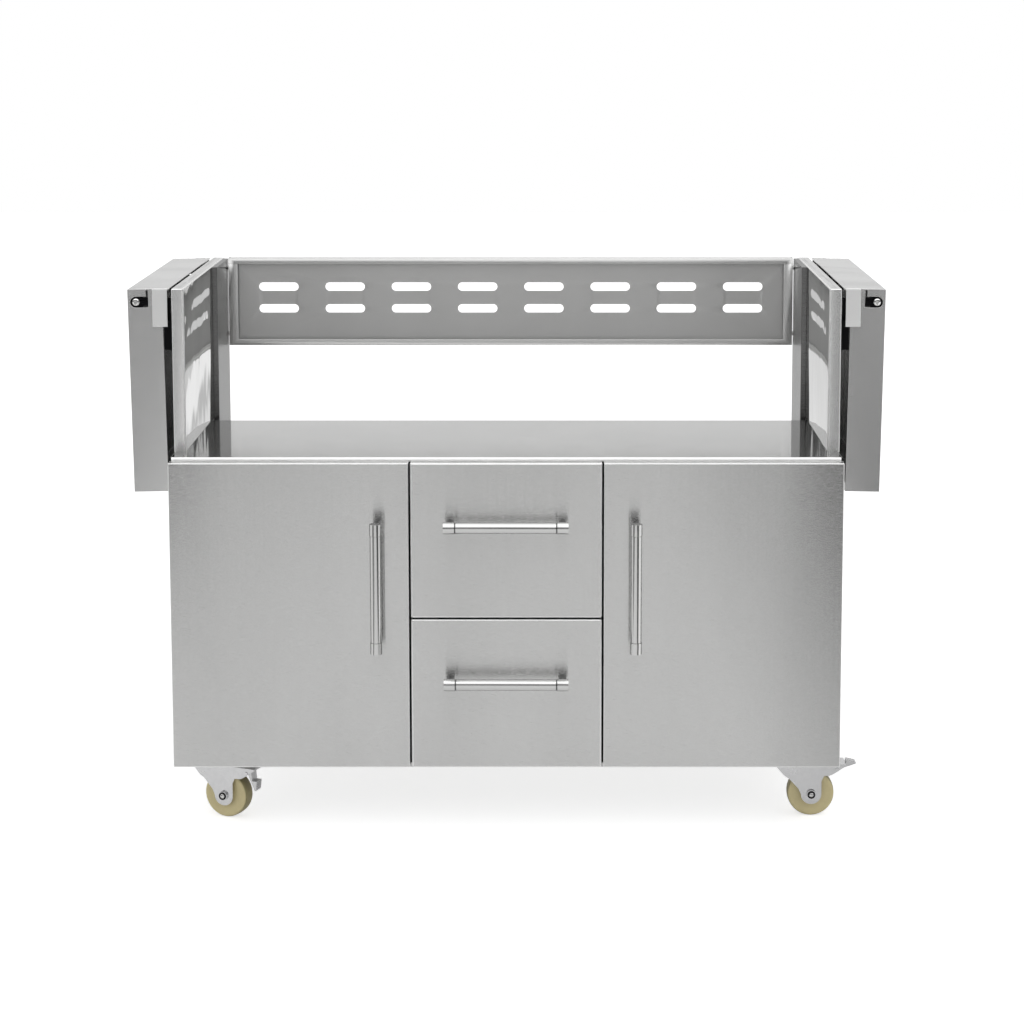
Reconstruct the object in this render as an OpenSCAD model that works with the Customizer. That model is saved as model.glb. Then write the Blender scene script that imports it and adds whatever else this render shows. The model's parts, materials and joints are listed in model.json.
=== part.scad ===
// Grill cart with storage: a wheeled stainless cabinet that carries a drop-in grill head.
// Two doors and two drawers below, a deck between raised side walls and a slotted rear
// panel above, a folding shelf on each side, and four swivel casters.
// Frame: +X to the right, +Y to the rear, +Z up, origin on the floor under the middle.

/* [Cabinet] */
// Width over the closed doors
front_w = 1118; // [1000:1:1300]
// Width over the cabinet's side panels
carcass_w = 1120; // [1002:1:1302]
// Depth of the cabinet behind the doors
carcass_d = 564; // [520:1:700]
// Height of the deck above the floor
deck_z = 630; // [580:1:700]
// Height of the side walls above the deck
wall_h = 275; // [240:1:340]
// Thickness of the folded side panels
side_t = 21; // [16:0.5:30]
// Gauge of the sheet metal
sheet_t = 2; // [1:0.1:3]
// Height of the cabinet's underside above the floor
base_z = 98; // [98:1:120]
// Depth of the base pan's edge
pan_h = 8; // [6:0.5:14]

/* [Deck] */
// Depth of the deck, from its front lip to the step at its rear edge
deck_d = 364; // [300:1:420]
// How far the deck's lip stands in front of the cabinet
deck_reach = 8; // [4:0.5:8]
// Height of the deck's front lip
deck_lip_h = 7; // [4:0.5:12]
// How far each edge of the deck stays inside the side panel's outer face
deck_inset = 4; // [2:0.5:10]
// How far the ledge behind the deck lies below it
ledge_drop = 38; // [20:1:45]
// How far the side walls stand back from the deck's lip
wall_setback = 58; // [40:1:90]

/* [Rear panel] */
// How far the rear panel's top edge stands above the side walls
back_rise = 3; // [0:0.5:12]
// Height of the rear panel
back_h = 164; // [140:1:200]
// Depth of the rear panel's folded edge
back_t = 12; // [8:0.5:18]
// How far the rear panel's face stands in from the walls' rear edges
back_inset = 40; // [36:1:60]
// Gap between the rear panel's end and the rear post
back_end_gap = 3; // [1:0.5:6]
// Height of the turned-in lip along the top and bottom
back_lip_h = 11; // [8:0.5:16]
// Width of the turned-in lip at the ends
back_lip_w = 17; // [10:0.5:25]
// Number of slots in a row
slot_count = 8; // [4:2:8]
// Length of a slot
slot_l = 74; // [50:1:85]
// Height of a slot
slot_h = 16; // [10:0.5:20]
// Distance between the slots of a row
slot_pitch = 124; // [110:1:124]
// Distance between the two rows of slots
slot_row_pitch = 41; // [30:0.5:50]
// Distance from the panel's top edge to the upper row
slot_drop = 55; // [45:0.5:60]
// Width of the rear posts, across the cart
post_w = 9.5; // [8:0.5:14]
// Depth of the rear posts
post_d = 154; // [120:1:156]
// Wall of the rear posts
post_wall = 2; // [1.5:0.1:3]

/* [Doors and drawers] */
// Thickness of the doors and drawer fronts
door_t = 20; // [16:0.5:25]
// Gap between the doors and the cabinet's front frame
door_gap = 8; // [8:0.5:10]
// Height of the doors' lower edge above the floor
door_bottom_z = 106; // [106:1:125]
// How far the doors' top edge lies below the deck
door_drop = 6; // [3:0.5:12]
// Width of the drawer column between the door gaps' centres
column_w = 321; // [280:1:400]
// Gap between neighbouring fronts
reveal = 3; // [2:0.5:5]
// Height of the gap between the drawer fronts above the floor
drawer_split_z = 361.5; // [350:0.5:375]
// Thickness of the doors' sheet
door_sheet_t = 1.5; // [1:0.1:2]
// Height of the drawer boxes
box_h = 190; // [120:1:200]
// Depth of the drawer boxes
box_d = 450; // [420:1:480]
// How far a drawer box starts above the lower edge of its front
box_lift = 22; // [18:1:30]
// How far the drawers pull out
drawer_travel = 380; // [300:1:400]

/* [Handles] */
// Distance from a front to the handle bar's axis
handle_standoff = 42; // [35:1:55]
// Radius of the handle bar
bar_r = 9.4; // [7:0.1:11]
// Radius of the end caps on the handle bar
cap_r = 10; // [8:0.1:12]
// Length of an end cap
cap_l = 19; // [14:0.5:24]
// Radius of a handle's posts
post_r = 7; // [5:0.1:8]
// Length of a door handle
door_handle_l = 218; // [180:1:300]
// Length of a drawer handle
drawer_handle_l = 206; // [160:1:260]
// Distance from a door's inner edge to its handle's axis
door_handle_inset = 52; // [40:1:80]
// Distance from a door's top edge to the upper end of its handle
door_handle_drop = 93; // [60:1:150]
// Distance from a drawer front's top edge to its handle's axis
drawer_handle_drop = 100; // [60:1:130]

/* [Door hinges] */
// Radius of a hinge pin
hinge_pin_r = 1.5; // [1:0.1:1.8]
// Radius of a hinge knuckle
knuckle_r = 3.1; // [2.8:0.1:3.4]
// Length of a hinge
hinge_l = 63; // [50:1:90]
// Width of a hinge leaf
hinge_leaf_w = 26; // [20:1:28]
// Thickness of a hinge leaf
hinge_leaf_t = 1.4; // [1:0.1:1.6]
// Distance from a door's end to the middle of the hinge there
hinge_inset = 80; // [60:1:120]

/* [Front frame] */
// Width of the frame's outer stiles
outer_stile_w = 30; // [30:1:45]
// Width of the frame's stiles beside the drawers
inner_stile_w = 18; // [14:1:24]
// Height of the frame's top and bottom rails
rail_h = 14; // [10:1:16]
// Height of the frame's rail between the drawers
mid_rail_h = 24; // [16:1:30]

/* [Drawer runners] */
// Height of the outer runner
runner_h = 36; // [30:1:45]
// How much longer the runners are than the drawers' travel
runner_overlap = 50; // [40:1:100]
// Gauge of the runners' channels
runner_t = 1.2; // [1:0.1:1.5]
// Height of the inner runner
inner_runner_h = 24; // [20:0.5:26]
// Height of a runner's middle above the bottom of its box
runner_lift = 60; // [40:1:100]

/* [Side shelves] */
// How far the folded shelves hang below the deck
shelf_hang = 70.5; // [60:0.5:110]
// Thickness of a shelf
shelf_t = 58; // [50:1:65]
// Distance from the side wall to the shelf's pivot
pivot_reach = 60; // [60:0.5:70]
// Depth of the pivot below the side wall's top edge
pivot_drop = 23; // [22:0.5:30]
// Distance from the pivot to the shelf's working surface
pivot_to_surface = 14; // [12:0.5:18]
// Distance from the pivot to the shelf's hinge end
pivot_to_end = 21.5; // [18:0.5:22]
// How far the hinge end's wall reaches past the shelf's underside
end_overhang = 11; // [4:0.5:11]
// Lean of the folded shelf, with its free end towards the cabinet
shelf_lean = 0.9; // [0:0.1:3]
// Radius of the pivot bolt
pivot_r = 4; // [3:0.1:5]
// Radius of the pivot bolt's head
pivot_head_r = 6; // [5:0.1:7.5]
// Half height of the slot in the shelf's end wall
d_slot_r = 9.4; // [8:0.1:10]
// Length of the slot in the shelf's end wall
d_slot_l = 30; // [24:0.5:34]
// Width of the slit that joins the slot to the hinge end
slit_w = 4; // [2:0.5:6]
// How far the shelf's ends stay inside the side wall's ends
shelf_end_inset = 6; // [5:0.5:10]
// Width of the bracket's cheek beside the shelf's end wall
cheek_w = 25; // [18:0.5:30]
// Height of the bracket's cheek
cheek_h = 64; // [50:1:90]
// Thickness of the bracket
bracket_t = 2.5; // [2:0.1:3]

/* [Casters] */
// Radius of a caster's wheel
wheel_r = 40; // [35:0.5:40]
// Width of a caster's wheel
wheel_w = 28; // [22:0.5:30]
// Distance from a caster's swivel axis to its axle
trail = 22; // [15:0.5:26]
// Distance of the swivel axes from the cart's middle
caster_x = 496; // [440:1:500]
// Distance of the front swivel axes behind the doors' face
front_caster_inset = 78; // [70:1:110]
// Distance of the rear swivel axes from the cabinet's rear
rear_caster_inset = 84; // [84:1:110]
// Radius of a wheel's axle
axle_r = 5; // [4:0.1:6]
// Radius of the swivel pin
kingpin_r = 5; // [4:0.1:6]
// Gap between a wheel and its fork's legs
wheel_side_gap = 3; // [1.5:0.1:4]
// Thickness of a fork's legs
leg_t = 2.5; // [2:0.1:3.5]
// How far a brake pedal turns when it is pressed
pedal_turn = 85; // [40:1:85]

/* [Hidden] */
// Overrun of every cut
overrun = 1;
// Radial clearance of a turning fit
run_gap = 0.05;
// Radial clearance of a screw in its hole
screw_gap = 0.1;
// Clearance between pieces that move past each other
part_gap = 0.4;
$fn = 48;

// Overall depth, from the handles to the cabinet's rear
handle_reach = handle_standoff + cap_r;
cart_d = handle_reach + door_t + door_gap + carcass_d;
front_y = handle_reach - cart_d / 2;
door_back_y = front_y + door_t;
frame_y = door_back_y + door_gap;
frame_back_y = frame_y + sheet_t;
rear_y = frame_y + carcass_d;
side_x = carcass_w / 2;
inner_x = side_x - side_t;
top_z = deck_z + wall_h;
floor_z = base_z + pan_h;
under_deck_z = deck_z - sheet_t;
deck_front_y = frame_y - deck_reach;
deck_rear_y = deck_front_y + deck_d;
wall_y = deck_front_y + wall_setback;
ledge_z = under_deck_z - ledge_drop;

// Doors and drawers
front_x = front_w / 2;
door_in_x = (column_w + reveal) / 2;
drawer_x = (column_w - reveal) / 2;
door_top_z = deck_z - door_drop;
upper_front_z = drawer_split_z + reveal / 2;
lower_front_top_z = drawer_split_z - reveal / 2;
door_handle_x = door_in_x + door_handle_inset;
door_handle_z = door_top_z - door_handle_drop - door_handle_l / 2;
groove_w = 0.8;
groove_depth = 0.9;

// Front frame and dividers
divider_inset = 0.5;
stile_lap = 3;
divider_x = column_w / 2 - divider_inset;
frame_open_x = divider_x - stile_lap;
stile_x = frame_open_x + inner_stile_w;
outer_open_x = side_x - outer_stile_w;
opening_bottom_z = floor_z + rail_h;
opening_top_z = under_deck_z - rail_h;

// Door hinges
hinge_side_gap = 0.1;
hinge_x = side_x - knuckle_r - hinge_side_gap;
hinge_y = door_back_y + door_gap / 2;
hinge_zs = [door_bottom_z + hinge_inset, door_top_z - hinge_inset];
knuckle_clear = knuckle_r + 2 * part_gap;
// Gap between the knuckles of the two leaves, as a share of the hinge's length
knuckle_gap_share = 0.007;
knuckle_shares = [1 / 3 + knuckle_gap_share, 2 / 3 - knuckle_gap_share];

// Drawer runners: space between a box and its divider, shared by three members
runner_space = 13.5;
runner_l = drawer_travel + runner_overlap;
mid_back_gap = 4.4;
mid_web_w = 3;
inner_end_gap = 0.5;
box_x = divider_x - runner_space;
mid_neck_x = box_x + runner_t + part_gap;
mid_web_x = divider_x - mid_back_gap - mid_web_w;
inner_open_x = mid_web_x - inner_end_gap;

// Side shelves, drawn about the pivot with +X away from the cart
pivot_x = side_x + pivot_reach;
pivot_z = top_z - pivot_drop;
shelf_l = wall_h - pivot_drop + pivot_to_end + shelf_hang;
shelf_y0 = wall_y + shelf_end_inset;
shelf_y1 = rear_y - shelf_end_inset;
under_x = pivot_to_surface - shelf_t;
arm_t = 3;
arm_half_h = 7;
arm_front_gap = 2;
arm_y = sheet_t + arm_front_gap;
pivot_plate_y = arm_y + arm_t + part_gap;
pivot_plate_half_w = 11;
bolt_nut_t = 3;
notch_x = arm_half_h + 2 * part_gap;
shelf_lip = 15;
flange_h = 60;
flange_top_drop = 21;
flange_top_z = pivot_z - flange_top_drop;
flange_l = 46;
tab_h = 10;
cheek_reach = 7;
cheek_gap = 2.5;
bracket_screw_r = 3;
bracket_screw_head_r = 5;
bracket_screw_head_h = 2.5;
bracket_screw_z = flange_top_z - flange_h / 2;
bracket_screw_shares = [0.5, 0.85];
bumper_r = 8;
bumper_rise = 14;
bumper_end_inset = 60;

// Rear panel screws
back_screw_r = 2;
back_screw_head_r = 3.8;
back_screw_head_h = 2;
back_screw_inset = 20;
back_tab = 9.5;
back_top_z = top_z + back_rise;
back_bottom_z = back_top_z - back_h;
back_y = rear_y - back_inset;
back_rear_y = back_y + back_t;
back_screw_y = back_rear_y + back_screw_head_r + part_gap;
post_x = inner_x - post_w;
post_rear_y = back_rear_y + back_tab + 2 * screw_gap;
post_y = post_rear_y - post_d;
back_x = post_x - back_end_gap;

// Door catches
catch_w = 12;
catch_h = 34;
catch_drop = 30;

// Casters, drawn with the swivel axis at the origin, the axle behind it along +X
plate_t = 3;
plate_half_x = 48;
plate_half_y = 40;
pan_under_z = floor_z - sheet_t;
plate_z = pan_under_z - plate_t;
race_r = 24;
race_h = 4;
race_z = plate_z - race_h;
leg_h = 49;
crown_z = wheel_r + leg_h;
crown_fore = 61;
crown_aft = 59;
crown_t = 3;
boss_r = 22;
leg_in_y = wheel_w / 2 + wheel_side_gap;
leg_out_y = leg_in_y + leg_t;
leg_foot_r = 17.5;
// Corners of a leg's two edges, as shares of the crown's reach and of the leg's height
fore_edge_shares = [[-0.36, 0.2], [-0.62, 0.55], [-0.75, 0.65], [-1, 1]];
aft_edge_shares = [[1, 1], [0.64, 0.71], [0.54, 0.66], [0.37, 0.65]];
foot_side_share = 0.47;
kingpin_head_r = 9;
kingpin_head_h = 3;
axle_head_r = 8;
axle_head_h = 4;
hub_r = 13;
hub_overhang = 1.5;
hub_half_w = wheel_w / 2 + hub_overhang;
web_half_w = 9;
rim_r = 31;
tread_edge = 4;
front_caster_y = front_y + front_caster_inset;
rear_caster_y = rear_y - rear_caster_inset;
// Swivel angles as the cart stands, front left, front right, rear left, rear right
caster_yaws = [-22, 0, 14, -9];

// Brake pedals, drawn about their pivot in the released position
pedal_pivot_reach = 66;
pedal_pivot_rise = 43;
pedal_pivot = [pedal_pivot_reach, wheel_r + pedal_pivot_rise];
pedal_l = 34;
pedal_h = 13;
pedal_pin_r = 2.2;
pedal_pin_head_r = 3.2;
pedal_pin_head_h = 1.2;
pedal_hub_r = 4.4;
pedal_half_w = 9;
// Corners of the footplate, as shares of the pedal's length and height
pedal_under_shares = [[0.47, 0.1], [0.97, 0.55]];
tread_shares = [[0.48, 1], [0.97, 0.72]];
pedal_neck_share = [0.46, 0.34];
lobe_l = 4;
lobe_r = 3;
lobe_half_w = 7.5;
lobe_angle = -60;
rib_count = 4;
rib_w = 1.4;
rib_half_l = 8;
rib_h = 0.8;

// Spring shoe that the pedal's lobe presses against the tread
shoe_reach = 60.5;
shoe_lean = 3.5;
shoe_h = 16;
shoe_t = 2;
shoe_half_w = 8;

// Helpers

// Box between two opposite corners
module span_box(low, high) {
  translate(low) cube(high - low);
}

// Children as drawn for the right side, or mirrored for the left
module on_side(side) {
  if (side < 0) {
    mirror([1, 0, 0]) children();
  } else {
    children();
  }
}

// Cylinder along Y between two places
module y_rod(r, from, to) {
  translate([0, from, 0]) rotate([-90, 0, 0]) cylinder(r = r, h = to - from);
}

// Cylinder along X between two places
module x_rod(r, from, to) {
  translate([from, 0, 0]) rotate([0, 90, 0]) cylinder(r = r, h = to - from);
}

// Outline in X and Z, given a thickness along Y
module y_plate(from, to) {
  translate([0, to, 0]) rotate([90, 0, 0]) linear_extrude(to - from) children();
}

// Cabinet

module base_pan() {
  color("silver")
    difference() {
      span_box([-side_x, frame_y, base_z], [side_x, rear_y, floor_z]);
      span_box(
        [sheet_t - side_x, frame_back_y, base_z - overrun],
        [side_x - sheet_t, rear_y - sheet_t, pan_under_z]
      );
    }
}

// Folded side panel: an outer sheet with its four edges turned inwards
module folded_side(y0, y1, z0, z1, in_x) {
  difference() {
    span_box([in_x, y0, z0], [side_x, y1, z1]);
    span_box(
      [in_x - overrun, y0 + sheet_t, z0 + sheet_t],
      [side_x - sheet_t, y1 - sheet_t, z1 - sheet_t]
    );
  }
}

module side_panel(side) {
  color("silver")
    on_side(side) folded_side(frame_back_y, rear_y, floor_z, under_deck_z, inner_x);
}

module lower_back_panel() {
  color("silver")
    span_box([-inner_x, rear_y - sheet_t, floor_z], [inner_x, rear_y, ledge_z]);
}

module divider(side) {
  outline = [
    [frame_back_y, floor_z], [rear_y - sheet_t, floor_z], [rear_y - sheet_t, ledge_z],
    [deck_rear_y - sheet_t, ledge_z], [deck_rear_y - sheet_t, under_deck_z],
    [frame_back_y, under_deck_z]
  ];
  color("silver")
    on_side(side)
      translate([divider_x, 0, 0])
        rotate([90, 0, 90]) linear_extrude(sheet_t) polygon(outline);
}

// Rails across the cabinet's front, above, below and between the drawers
module front_rails() {
  color("silver")
    for (rail = [
      [side_x, floor_z, opening_bottom_z],
      [frame_open_x, drawer_split_z - mid_rail_h / 2, drawer_split_z + mid_rail_h / 2],
      [side_x, opening_top_z, under_deck_z]
    ])
      span_box([-rail[0], frame_y, rail[1]], [rail[0], frame_back_y, rail[2]]);
}

// Stiles between the rails, beside the drawers and at the cabinet's sides
module front_stiles() {
  color("silver")
    for (side = [-1, 1], ends = [[frame_open_x, stile_x], [outer_open_x, side_x]])
      on_side(side)
        span_box(
          [ends[0], frame_y, opening_bottom_z], [ends[1], frame_back_y, opening_top_z]
        );
}

// Deck between the feet of the side walls, and in front of them
module deck() {
  edge_x = side_x - deck_inset;
  color("lightgray")
    difference() {
      span_box([-edge_x, deck_front_y, deck_z - deck_lip_h], [edge_x, deck_rear_y, deck_z]);
      span_box(
        [-side_x, deck_front_y + sheet_t, base_z], [side_x, rear_y, under_deck_z]
      );
      for (side = [-1, 1])
        on_side(side)
          span_box(
            [inner_x - part_gap, wall_y - part_gap, base_z], [side_x, rear_y, top_z]
          );
    }
}

module rear_ledge() {
  color("silver") {
    span_box([-inner_x, deck_rear_y - sheet_t, ledge_z], [inner_x, deck_rear_y, under_deck_z]);
    span_box([-inner_x, deck_rear_y - sheet_t, ledge_z], [inner_x, rear_y, ledge_z + sheet_t]);
  }
}

// Upper walls and rear panel

// Places of a bracket's two screws on the side wall, with the front bracket first
function bracket_screw_ys(front) =
  [for (share = bracket_screw_shares) front ? wall_y + share * flange_l : rear_y - share * flange_l];

module bracket_screw_places(side) {
  for (front = [true, false], y = bracket_screw_ys(front))
    on_side(side) translate([0, y, bracket_screw_z]) children();
}

module upper_panel(side) {
  color("silver")
    difference() {
      on_side(side) folded_side(wall_y, rear_y, under_deck_z, top_z, inner_x + sheet_t);
      bracket_screw_places(side)
        x_rod(bracket_screw_r + screw_gap, side_x - 2 * sheet_t, side_x + overrun);
    }
}

module upper_liner(side) {
  color("gainsboro")
    on_side(side)
      span_box([inner_x, wall_y, under_deck_z], [inner_x + sheet_t, rear_y, top_z]);
}

// Slot with round ends along X, cut through the rear panel
module slot_cut() {
  end_x = (slot_l - slot_h) / 2;
  for (end = [-end_x, end_x])
    translate([end, 0, 0]) y_rod(slot_h / 2, back_y - overrun, back_rear_y + overrun);
  span_box(
    [-end_x, back_y - overrun, -slot_h / 2], [end_x, back_rear_y + overrun, slot_h / 2]
  );
}

// Places of the rear panel's screws, which run outwards through its end tabs
module back_screw_places() {
  for (side = [-1, 1], z = [back_bottom_z + back_screw_inset, back_top_z - back_screw_inset])
    on_side(side) translate([0, back_screw_y, z]) children();
}

module back_panel() {
  color("darkgray")
    difference() {
      union() {
        span_box([-back_x, back_y, back_bottom_z], [back_x, back_rear_y, back_top_z]);
        for (side = [-1, 1])
          on_side(side)
            span_box(
              [back_x - sheet_t, back_rear_y - sheet_t, back_bottom_z],
              [back_x, back_rear_y + back_tab, back_top_z]
            );
      }
      span_box(
        [sheet_t - back_x, back_y + sheet_t, back_bottom_z + sheet_t],
        [back_x - sheet_t, back_rear_y - sheet_t, back_top_z - sheet_t]
      );
      span_box(
        [back_lip_w - back_x, back_y - overrun, back_bottom_z + back_lip_h],
        [back_x - back_lip_w, back_y + 2 * sheet_t, back_top_z - back_lip_h]
      );
      for (row = [0, 1], i = [0 : slot_count - 1])
        translate([
          (i - (slot_count - 1) / 2) * slot_pitch, 0,
          back_top_z - slot_drop - row * slot_row_pitch
        ]) slot_cut();
      back_screw_places()
        x_rod(back_screw_r + screw_gap, back_x - sheet_t - overrun, back_x + overrun);
    }
}

module rear_posts() {
  color("silver")
    difference() {
      for (side = [-1, 1])
        on_side(side)
          difference() {
            span_box(
              [post_x, post_y, ledge_z + sheet_t], [inner_x, post_rear_y, top_z]
            );
            span_box(
              [post_x + post_wall, post_y + post_wall, ledge_z],
              [inner_x - post_wall, post_rear_y - post_wall, top_z - post_wall]
            );
          }
      back_screw_places()
        x_rod(back_screw_r + screw_gap, post_x - overrun, post_x + post_wall + overrun);
    }
}

// Screws and the collars between the panel's end tabs and the posts
module back_screws() {
  color("lightgray")
    back_screw_places() {
      x_rod(back_screw_head_r, back_x - sheet_t - back_screw_head_h, back_x - sheet_t);
      x_rod(back_screw_r, back_x - sheet_t - back_screw_head_h, post_x + 2 * post_wall);
      difference() {
        x_rod(back_screw_head_r, back_x, post_x);
        x_rod(back_screw_r + screw_gap, back_x - overrun, post_x + overrun);
      }
    }
}

module door_catches() {
  color("dimgray")
    for (side = [-1, 1])
      on_side(side)
        span_box(
          [door_in_x, door_back_y + part_gap, opening_top_z - catch_drop - catch_h],
          [door_in_x + catch_w, frame_y, opening_top_z - catch_drop]
        );
}

// Door hinges

// Part of a hinge's knuckle, as shares of its length from its lower end
module knuckle(from, to) {
  translate([hinge_x, hinge_y, from * hinge_l - hinge_l / 2])
    cylinder(r = knuckle_r, h = (to - from) * hinge_l);
}

// Strip that joins a leaf to its knuckle
module knuckle_bridge(y0, y1, from, to) {
  span_box(
    [hinge_x - knuckle_clear - overrun, y0, (from - 1 / 2) * hinge_l],
    [hinge_x, y1, (to - 1 / 2) * hinge_l]
  );
}

module hinge_bore(clearance) {
  translate([hinge_x, hinge_y, -hinge_l])
    cylinder(r = hinge_pin_r + clearance, h = 2 * hinge_l);
}

module leaf_plate(y0, y1) {
  span_box(
    [hinge_x - knuckle_clear - hinge_leaf_w + part_gap, y0, -hinge_l / 2],
    [hinge_x - knuckle_clear, y1, hinge_l / 2]
  );
}

module frame_hinge_leaves() {
  y0 = frame_y - hinge_leaf_t;
  color("silver")
    for (side = [-1, 1], z = hinge_zs)
      on_side(side) translate([0, 0, z])
        difference() {
          union() {
            leaf_plate(y0, frame_y);
            knuckle_bridge(y0, frame_y, knuckle_shares[0], knuckle_shares[1]);
            knuckle(knuckle_shares[0], knuckle_shares[1]);
          }
          hinge_bore(0);
        }
}

module door_hinges(side) {
  y1 = door_back_y + hinge_leaf_t;
  color("silver")
    for (z = hinge_zs)
      on_side(side) translate([0, 0, z])
        difference() {
          union() {
            leaf_plate(door_back_y, y1);
            for (ends = [[0, 1 / 3], [2 / 3, 1]]) {
              knuckle_bridge(door_back_y, y1, ends[0], ends[1]);
              knuckle(ends[0], ends[1]);
            }
          }
          hinge_bore(run_gap);
        }
}

module hinge_pins() {
  color("gray")
    for (side = [-1, 1], z = hinge_zs)
      translate([side * hinge_x, hinge_y, z - hinge_l / 2])
        cylinder(r = hinge_pin_r, h = hinge_l);
}

// Doors

// Front skin: a sheet with its four edges turned back
module front_skin(x0, x1, z0, z1) {
  difference() {
    span_box([x0, front_y, z0], [x1, door_back_y, z1]);
    span_box(
      [x0 + door_sheet_t, front_y + door_sheet_t, z0 + door_sheet_t],
      [x1 - door_sheet_t, door_back_y + overrun, z1 - door_sheet_t]
    );
  }
}

// Inner sheet that closes a front skin
module front_liner(x0, x1, z0, z1) {
  span_box(
    [x0 + door_sheet_t, door_back_y - door_sheet_t, z0 + door_sheet_t],
    [x1 - door_sheet_t, door_back_y, z1 - door_sheet_t]
  );
}

module door_skin(side) {
  color("silver") on_side(side) front_skin(door_in_x, front_x, door_bottom_z, door_top_z);
}

module door_liner(side) {
  color("silver") on_side(side) front_liner(door_in_x, front_x, door_bottom_z, door_top_z);
}

// Handle along X about its bar's middle, with posts back to the front it is on
module handle(length) {
  bar_end = length / 2 - cap_l;
  difference() {
    union() {
      x_rod(bar_r, -length / 2, length / 2);
      for (side = [-1, 1])
        on_side(side) {
          x_rod(cap_r, bar_end, length / 2);
          translate([length / 2 - cap_l / 2, 0, 0]) y_rod(post_r, 0, handle_standoff);
        }
    }
    for (side = [-1, 1])
      on_side(side)
        difference() {
          x_rod(cap_r + overrun, bar_end - groove_w, bar_end);
          x_rod(bar_r - groove_depth, bar_end - 2 * groove_w, bar_end + groove_w);
        }
  }
}

module door_handle(side) {
  color("gainsboro")
    translate([side * door_handle_x, front_y - handle_standoff, door_handle_z])
      rotate([0, 90, 0]) handle(door_handle_l);
}

// Drawers, each placed by the lower and upper edge of its front

module drawer_front(z0, z1) {
  color("silver") {
    front_skin(-drawer_x, drawer_x, z0, z1);
    front_liner(-drawer_x, drawer_x, z0, z1);
  }
}

module drawer_box(z0) {
  y1 = door_back_y + box_d;
  bottom_z = z0 + box_lift;
  color("silver")
    difference() {
      span_box([-box_x, door_back_y, bottom_z], [box_x, y1, bottom_z + box_h]);
      span_box(
        [sheet_t - box_x, door_back_y + sheet_t, bottom_z + sheet_t],
        [box_x - sheet_t, y1 - sheet_t, bottom_z + box_h + overrun]
      );
    }
}

module drawer_handle(z1) {
  color("gainsboro")
    translate([0, front_y - handle_standoff, z1 - drawer_handle_drop]) handle(drawer_handle_l);
}

// Channel beside a drawer, from its web at one X to its open edge at the other
module runner_channel(web_x, open_x, half_h, z) {
  web_in_x = web_x + sign(open_x - web_x) * runner_t;
  difference() {
    span_box(
      [min(web_x, open_x), frame_back_y, z - half_h],
      [max(web_x, open_x), frame_back_y + runner_l, z + half_h]
    );
    span_box(
      [min(web_in_x, open_x) - (open_x < web_x ? overrun : 0), frame_back_y - overrun,
        z - half_h + runner_t],
      [max(web_in_x, open_x) + (open_x > web_x ? overrun : 0),
        frame_back_y + runner_l + overrun, z + half_h - runner_t]
    );
  }
}

module drawer_rails() {
  color("gray")
    for (side = [-1, 1], z0 = [door_bottom_z, upper_front_z])
      on_side(side)
        runner_channel(
          divider_x, mid_web_x - part_gap, runner_h / 2, z0 + box_lift + runner_lift
        );
}

module drawer_runners(z0) {
  color("lightgray")
    for (side = [-1, 1])
      on_side(side)
        runner_channel(
          box_x, inner_open_x, inner_runner_h / 2, z0 + box_lift + runner_lift
        );
}

module mid_runners(z0) {
  z = z0 + box_lift + runner_lift;
  web_half_h = runner_h / 2 - runner_t - part_gap;
  neck_half_h = inner_runner_h / 2 - runner_t - part_gap;
  end_y = frame_back_y + runner_l;
  color("darkgray")
    for (side = [-1, 1])
      on_side(side) {
        span_box(
          [mid_web_x, frame_back_y, z - web_half_h], [mid_web_x + mid_web_w, end_y, z + web_half_h]
        );
        span_box(
          [mid_neck_x, frame_back_y, z - neck_half_h], [mid_web_x, end_y, z + neck_half_h]
        );
      }
}

// Side shelves

// Children drawn about the pivot, at the front end and mirrored at the rear end
module at_shelf_ends() {
  for (rear = [0, 1])
    translate([0, rear * (shelf_y0 + shelf_y1), 0]) mirror([0, rear, 0]) children();
}

// Children drawn about the pivot of the right shelf, leaning as the folded shelf does
module shelf_frame(side) {
  on_side(side) translate([pivot_x, 0, pivot_z]) rotate([0, shelf_lean, 0]) children();
}

// Opening in a shelf's end wall: a slot round the pivot and the slit above its inner end
module end_slot() {
  slot_in_x = d_slot_r - d_slot_l;
  y0 = shelf_y0 - overrun;
  y1 = shelf_y0 + sheet_t + part_gap;
  y_rod(d_slot_r, y0, y1);
  span_box([slot_in_x, y0, -d_slot_r], [0, y1, d_slot_r]);
  span_box([slot_in_x, y0, 0], [slot_in_x + slit_w, y1, pivot_to_end + overrun]);
}

module shelf(side) {
  free_z = pivot_to_end - shelf_l;
  wall_in = pivot_to_surface - sheet_t;
  color("silver")
    shelf_frame(side)
      difference() {
        union() {
          span_box([under_x, shelf_y0, free_z], [pivot_to_surface, shelf_y1, pivot_to_end]);
          span_box(
            [under_x - end_overhang, shelf_y0, pivot_to_end - sheet_t],
            [under_x, shelf_y1, pivot_to_end]
          );
        }
        span_box(
          [under_x + sheet_t, shelf_y0 + sheet_t, free_z + sheet_t],
          [wall_in, shelf_y1 - sheet_t, pivot_to_end - sheet_t]
        );
        span_box(
          [under_x - overrun, shelf_y0 + sheet_t, free_z + shelf_lip],
          [wall_in, shelf_y1 - sheet_t, pivot_to_end - sheet_t]
        );
        at_shelf_ends() {
          end_slot();
          span_box(
            [under_x - end_overhang - overrun, shelf_y0 + arm_y - part_gap, 0],
            [notch_x, shelf_y0 + pivot_plate_y, pivot_to_end + overrun]
          );
        }
      }
}

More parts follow.
